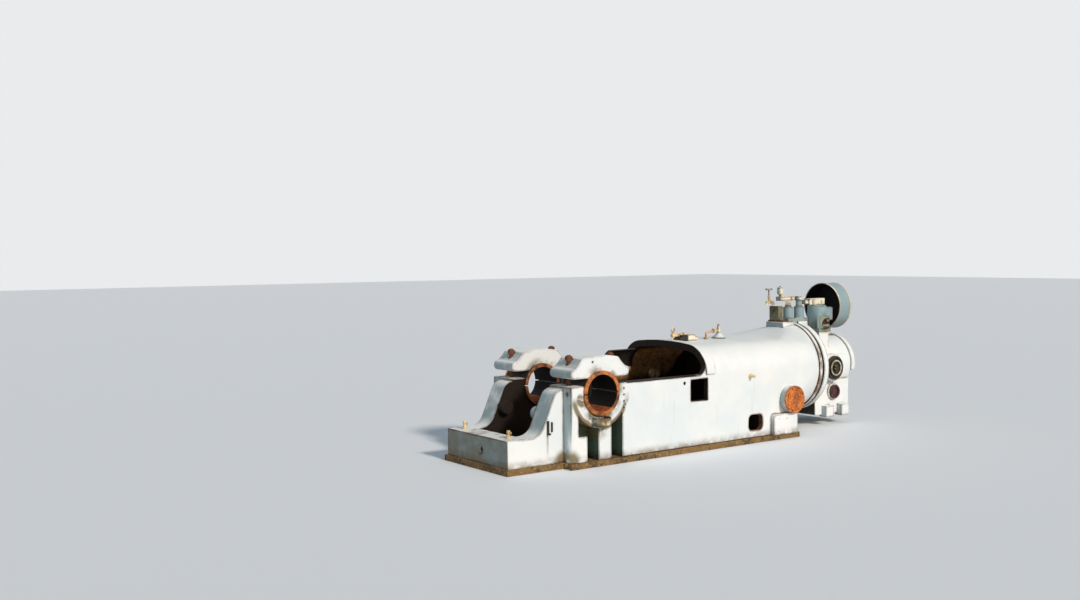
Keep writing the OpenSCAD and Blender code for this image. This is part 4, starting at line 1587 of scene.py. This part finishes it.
@dataclass
class Fittings:
    """Small fittings on the bed: cocks, hook, flange, plug, lubricator and pipe."""

    hook_round: float = 0.0025
    box_round: float = 0.003
    cock_inset: float = 0.016
    spout_turn: float = math.radians(30)
    spout_r: float = 0.0072
    flange_round: float = 0.0025
    flange_t: float = 0.010
    flange_holes: int = 8
    flange_hole_r: float = 0.0065
    flange_bolts: float = 0.84
    ring_r: float = 0.0125
    ring_wire_r: float = 0.0042
    ring_steps: int = 48
    pipe_r: float = 0.0068
    bend_r: float = 0.018

    def build(self) -> None:
        """Builds the fittings from the front to the back."""
        self.build_ledge_cocks()
        hook = Solid.copied("near_wall_hook").rounded(self.hook_round)
        hook.piece("wall_hook", DARK_IRON, "near_wall_hook")
        self.build_flange()
        self.build_side_plug()
        self.build_lubricator()
        self.build_feed_pipe()

    def build_ledge_cocks(self) -> None:
        """Builds the two cocks on the front ledge."""
        low, high = span("ledge_cocks")
        x = low[0] + self.cock_inset
        z = low[2]
        body = [
            (0.0, 0.0), (0.010, 0.0), (0.010, 0.018), (0.0078, 0.021), (0.0078, 0.026),
            (0.0105, 0.030), (0.0105, 0.040), (0.0085, 0.044), (0.0, 0.044),
        ]
        way = Vector((math.cos(self.spout_turn), math.sin(self.spout_turn), 0.0))
        group = Solid()
        for y in (low[1] + self.cock_inset, high[1] - self.cock_inset):
            group.hex_nut(0.027, 0.010, Axis.Z, (x, y, z), 15.0)
            group.lathe(body, Axis.Z, (x, y, z), 28)
            spout = [Vector((x, y, z + 0.026)) + way * reach for reach in (0.0, 0.012, 0.020, 0.0255)]
            group.tube([tuple(point) for point in spout], self.spout_r, 18)
        group.piece("drain_cocks", BRASS, "ledge_cocks")

    def build_flange(self) -> None:
        """Builds the water flange with its bolt holes and its stub."""
        low, high = span("side_flange")
        centre = middle("side_flange")
        flange = Solid.copied("side_flange")
        radius = (high[0] - low[0]) / 2
        depth = 2 * self.flange_t
        hole = [(0.0, 0.0), (self.flange_hole_r, 0.0), (self.flange_hole_r, depth), (0.0, depth)]
        for i in range(self.flange_holes):
            angle = FULL_TURN * (i + 0.5) / self.flange_holes
            x = centre.x + radius * self.flange_bolts * math.cos(angle)
            z = centre.z + radius * self.flange_bolts * math.sin(angle)
            drill = Solid().lathe(hole, Axis.NEAR, (x, low[1] + self.flange_t, z), 20)
            flange.combined(drill, Join.CUT)
        flange.cleaned().rounded(self.flange_round, over=40.0)
        flange.piece("water_flange", PAINT, "side_flange", others=[(BRIGHT_RUST, self.flange_face)])

    def flange_face(self, centre: Vector, normal: Vector) -> bool:
        """Whether a face is on the bare front of the flange."""
        front = span("side_flange")[0][1] + self.flange_t + self.flange_round
        return centre.y < front and normal.y < 0.9

    def build_side_plug(self) -> None:
        """Builds the tapped plug high on the near wall."""
        high = span("side_plug")[1]
        centre = middle("side_plug")
        place = (centre.x, high[1], centre.z)
        plug = Solid().hex_nut(0.0255, 0.012, Axis.NEAR, place, 9.0)
        stem = [
            (0.0, 0.0), (0.0085, 0.0), (0.0085, 0.014), (0.006, 0.018), (0.006, 0.028),
            (0.009, 0.030), (0.009, 0.037), (0.007, 0.040), (0.0, 0.040),
        ]
        plug.lathe(stem, Axis.NEAR, place, 24).piece("tapped_plug", BRASS, "side_plug")

    def build_lubricator(self) -> None:
        """Builds the lubricator: cast plate, dark box, bar and ring post."""
        low, high = span("crown_lubricator")
        y = (low[1] + high[1]) / 2
        x = low[0] + 0.044
        z = low[2]
        bar_z, ring_x, ring_z = z + 0.034, x - 0.034, z + 0.070
        slope = [
            (0.060, 0.0), (0.150, 0.0), (0.150, 0.014), (0.142, 0.023),
            (0.126, 0.024), (0.118, 0.037), (0.060, 0.037),
        ]
        plate = Solid()
        for near, far in ((-0.034, -0.006), (0.006, 0.034)):
            outline = [(x + along, z + up) for along, up in slope]
            plate.prism(outline, far - near, Axis.NEAR, (0.0, y + far, 0.0))
        plate.box((x + 0.058, y - 0.012, z), (x + 0.146, y + 0.012, z + 0.016))
        plate.rounded(self.box_round).piece("lubricator_plate", CREAM, "crown_lubricator")
        box = Solid().box((x, y - 0.034, z), (x + 0.062, y + 0.034, z + 0.023))
        box.box((x + 0.016, y - 0.026, z + 0.022), (x + 0.058, y + 0.026, z + 0.037))
        box.rounded(self.box_round).piece("lubricator_box", DARK_IRON, "crown_lubricator")
        bar = [
            (0.0, 0.0), (0.011, 0.0), (0.013, 0.003), (0.013, 0.014), (0.0095, 0.018),
            (0.0095, 0.066), (0.0125, 0.070), (0.0125, 0.086), (0.010, 0.090), (0.0, 0.090),
        ]
        brass = Solid().lathe(bar, Axis.X, (x - 0.044, y, bar_z), 28)
        post = [(0.0, 0.0), (0.010, 0.0), (0.010, 0.016), (0.0065, 0.020), (0.0065, 0.036), (0.0, 0.036)]
        brass.lathe(post, Axis.Z, (ring_x, y, z + 0.020), 24)
        ring = []
        for i in range(self.ring_steps + 1):
            angle = FULL_TURN * i / self.ring_steps
            ring.append((ring_x + self.ring_r * math.cos(angle), y, ring_z + self.ring_r * math.sin(angle)))
        brass.tube(ring, self.ring_wire_r, 12)
        brass.hex_nut(0.030, 0.012, Axis.X, (x + 0.047, y, bar_z), 14.0)
        brass.piece("lubricator_bar", BRASS, "crown_lubricator")

    def build_feed_pipe(self) -> None:
        """Builds the bent copper pipe, its union and the valve on its boss."""
        low, high = span("feed_pipe")
        y = (low[1] + high[1]) / 2
        x = low[0] + 0.014
        z = low[2]
        valve_x, arm_z, bend = x + 0.110, z + 0.048, self.bend_r
        boss = [(0.0, 0.0), (0.0455, 0.0), (0.042, 0.006), (0.024, 0.020), (0.015, 0.033), (0.0, 0.034)]
        Solid().lathe(boss, Axis.Z, (valve_x, y, z), 48).piece("valve_boss", SMOOTH_PAINT, "feed_pipe")
        path = [(x, y, z + 0.006), (x, y, z + 0.024)]
        for degrees in range(0, 91, 15):
            angle = math.radians(degrees)
            path.append((x + bend * (1 - math.cos(angle)), y, z + 0.026 + bend * math.sin(angle)))
        path.append((x + 0.062, y, z + 0.047))
        Solid().tube(path, self.pipe_r, 20).piece("bent_pipe", COPPER, "feed_pipe")
        union = Solid().hex_nut(0.026, 0.010, Axis.Z, (x, y, z), 11.0)
        union.hex_nut(0.024, 0.016, Axis.X, (x + 0.058, y, arm_z), 6.0)
        arm = [(0.0, 0.0), (0.0078, 0.0), (0.0078, 0.030), (0.010, 0.033), (0.010, 0.040), (0.0, 0.040)]
        union.lathe(arm, Axis.X, (x + 0.066, y, arm_z), 24).piece("feed_union", BRASS, "feed_pipe")
        body = [
            (0.0, 0.0), (0.012, 0.0), (0.0129, 0.006), (0.0129, 0.030), (0.0095, 0.036),
            (0.0095, 0.044), (0.0070, 0.048), (0.0070, 0.058), (0.0, 0.060),
        ]
        Solid().lathe(body, Axis.Z, (valve_x, y, z + 0.030), 32).piece("feed_valve", CREAM, "feed_pipe")


@dataclass
class Studio:
    """The floor, the light and the camera at the photograph's viewing angle."""

    camera_place: Point = (-3.8531, -5.1438, 1.1598)
    yaw: float = 0.6259
    pitch: float = 0.0404
    roll: float = -0.0090
    focal_px: float = 1125.09
    image_wide_px: int = 1080
    sensor_mm: float = 36.0
    floor_reach: float = 40.0
    floor_colour: Colour = tint("eceff3")
    sky: Colour = (0.50, 0.76, 1.0)
    sky_strength: float = 0.15
    backdrop: Colour = (0.82, 0.83, 0.84)
    lamps: tuple[tuple[str, Point, Colour, float, float], ...] = (
        ("key", (0.02, -0.86, 0.50), (1.0, 0.92, 0.83), 2.7, 8.0),
        ("fill", (-0.80, -0.46, 0.03), (0.78, 0.90, 1.0), 0.32, 12.0),
        ("top", (0.0, -0.30, 1.0), (0.92, 0.97, 1.0), 0.50, 70.0),
    )

    def build(self) -> None:
        """Builds the studio."""
        self.build_floor()
        self.build_world()
        self.build_lamps()
        self.build_camera()
        bpy.context.scene.view_settings.view_transform = "Standard"

    def build_floor(self) -> None:
        """Lays the plain pale floor at the sole's underside."""
        reach = self.floor_reach
        floor = Solid()
        corners = [(-reach, -reach), (reach, -reach), (reach, reach), (-reach, reach)]
        floor.mesh.faces.new([floor.mesh.verts.new((x, y, 0.0)) for x, y in corners])
        item = floor.as_object("floor")
        shader = Shader(bpy.data.materials.new("floor_finish"))
        item.data.materials.append(shader.finish(Base_Color=self.floor_colour, Roughness=0.9))

    def build_world(self) -> None:
        """Lights all sides softly and shows a pale backdrop to the camera and in gloss."""
        world = bpy.data.worlds.new("studio_world")
        bpy.context.scene.world = world
        shader = Shader(world)
        lit = shader.node("ShaderNodeBackground", {}, {"Color": self.sky, "Strength": self.sky_strength})
        seen = shader.node("ShaderNodeBackground", {}, {"Color": self.backdrop, "Strength": 1.0})
        camera = shader.node("ShaderNodeLightPath", {}, {}, "Is Camera Ray")
        gloss = shader.node("ShaderNodeLightPath", {}, {}, "Is Glossy Ray")
        both = shader.node("ShaderNodeMixShader", {}, {0: camera.larger(gloss), 1: lit, 2: seen})
        shader.added("ShaderNodeOutputWorld", {}, {"Surface": both})

    def build_lamps(self) -> None:
        """Hangs the wide soft key on the near side, a faint fill ahead and a soft light above."""
        for name, towards, colour, strength, softness in self.lamps:
            lamp = bpy.data.lights.new(name, "SUN")
            lamp.energy = strength
            lamp.angle = math.radians(softness)
            lamp.color = colour
            item = bpy.data.objects.new(name, lamp)
            item.rotation_euler = Vector(towards).to_track_quat("Z", "Y").to_euler()
            bpy.context.scene.collection.objects.link(item)

    def build_camera(self) -> None:
        """Sets the camera by its place and its three angles."""
        ahead = Vector((math.sin(self.yaw), math.cos(self.yaw), 0.0))
        right = Vector((math.cos(self.yaw), -math.sin(self.yaw), 0.0))
        up = Vector((0.0, 0.0, 1.0))
        look = ahead * math.cos(self.pitch) - up * math.sin(self.pitch)
        over = up * math.cos(self.pitch) + ahead * math.sin(self.pitch)
        across = right * math.cos(self.roll) + over * math.sin(self.roll)
        over = over * math.cos(self.roll) - right * math.sin(self.roll)
        data = bpy.data.cameras.new("camera")
        data.sensor_width = self.sensor_mm
        data.lens = self.focal_px * self.sensor_mm / self.image_wide_px
        item = bpy.data.objects.new("camera", data)
        turn = Matrix((across, over, -look)).transposed().to_4x4()
        item.matrix_world = Matrix.Translation(self.camera_place) @ turn
        bpy.context.scene.collection.objects.link(item)
        bpy.context.scene.camera = item


def main() -> None:
    """Builds the engine in order, from the bed to the fittings, and then the studio."""
    logging.basicConfig(level=logging.INFO, format="%(message)s")
    BedCasting().build()
    for side in Side:
        MainBearing(side).build()
    CylinderHead().build()
    ValveGear().build()
    Fittings().build()
    Studio().build()


if __name__ == "__main__":
    main()
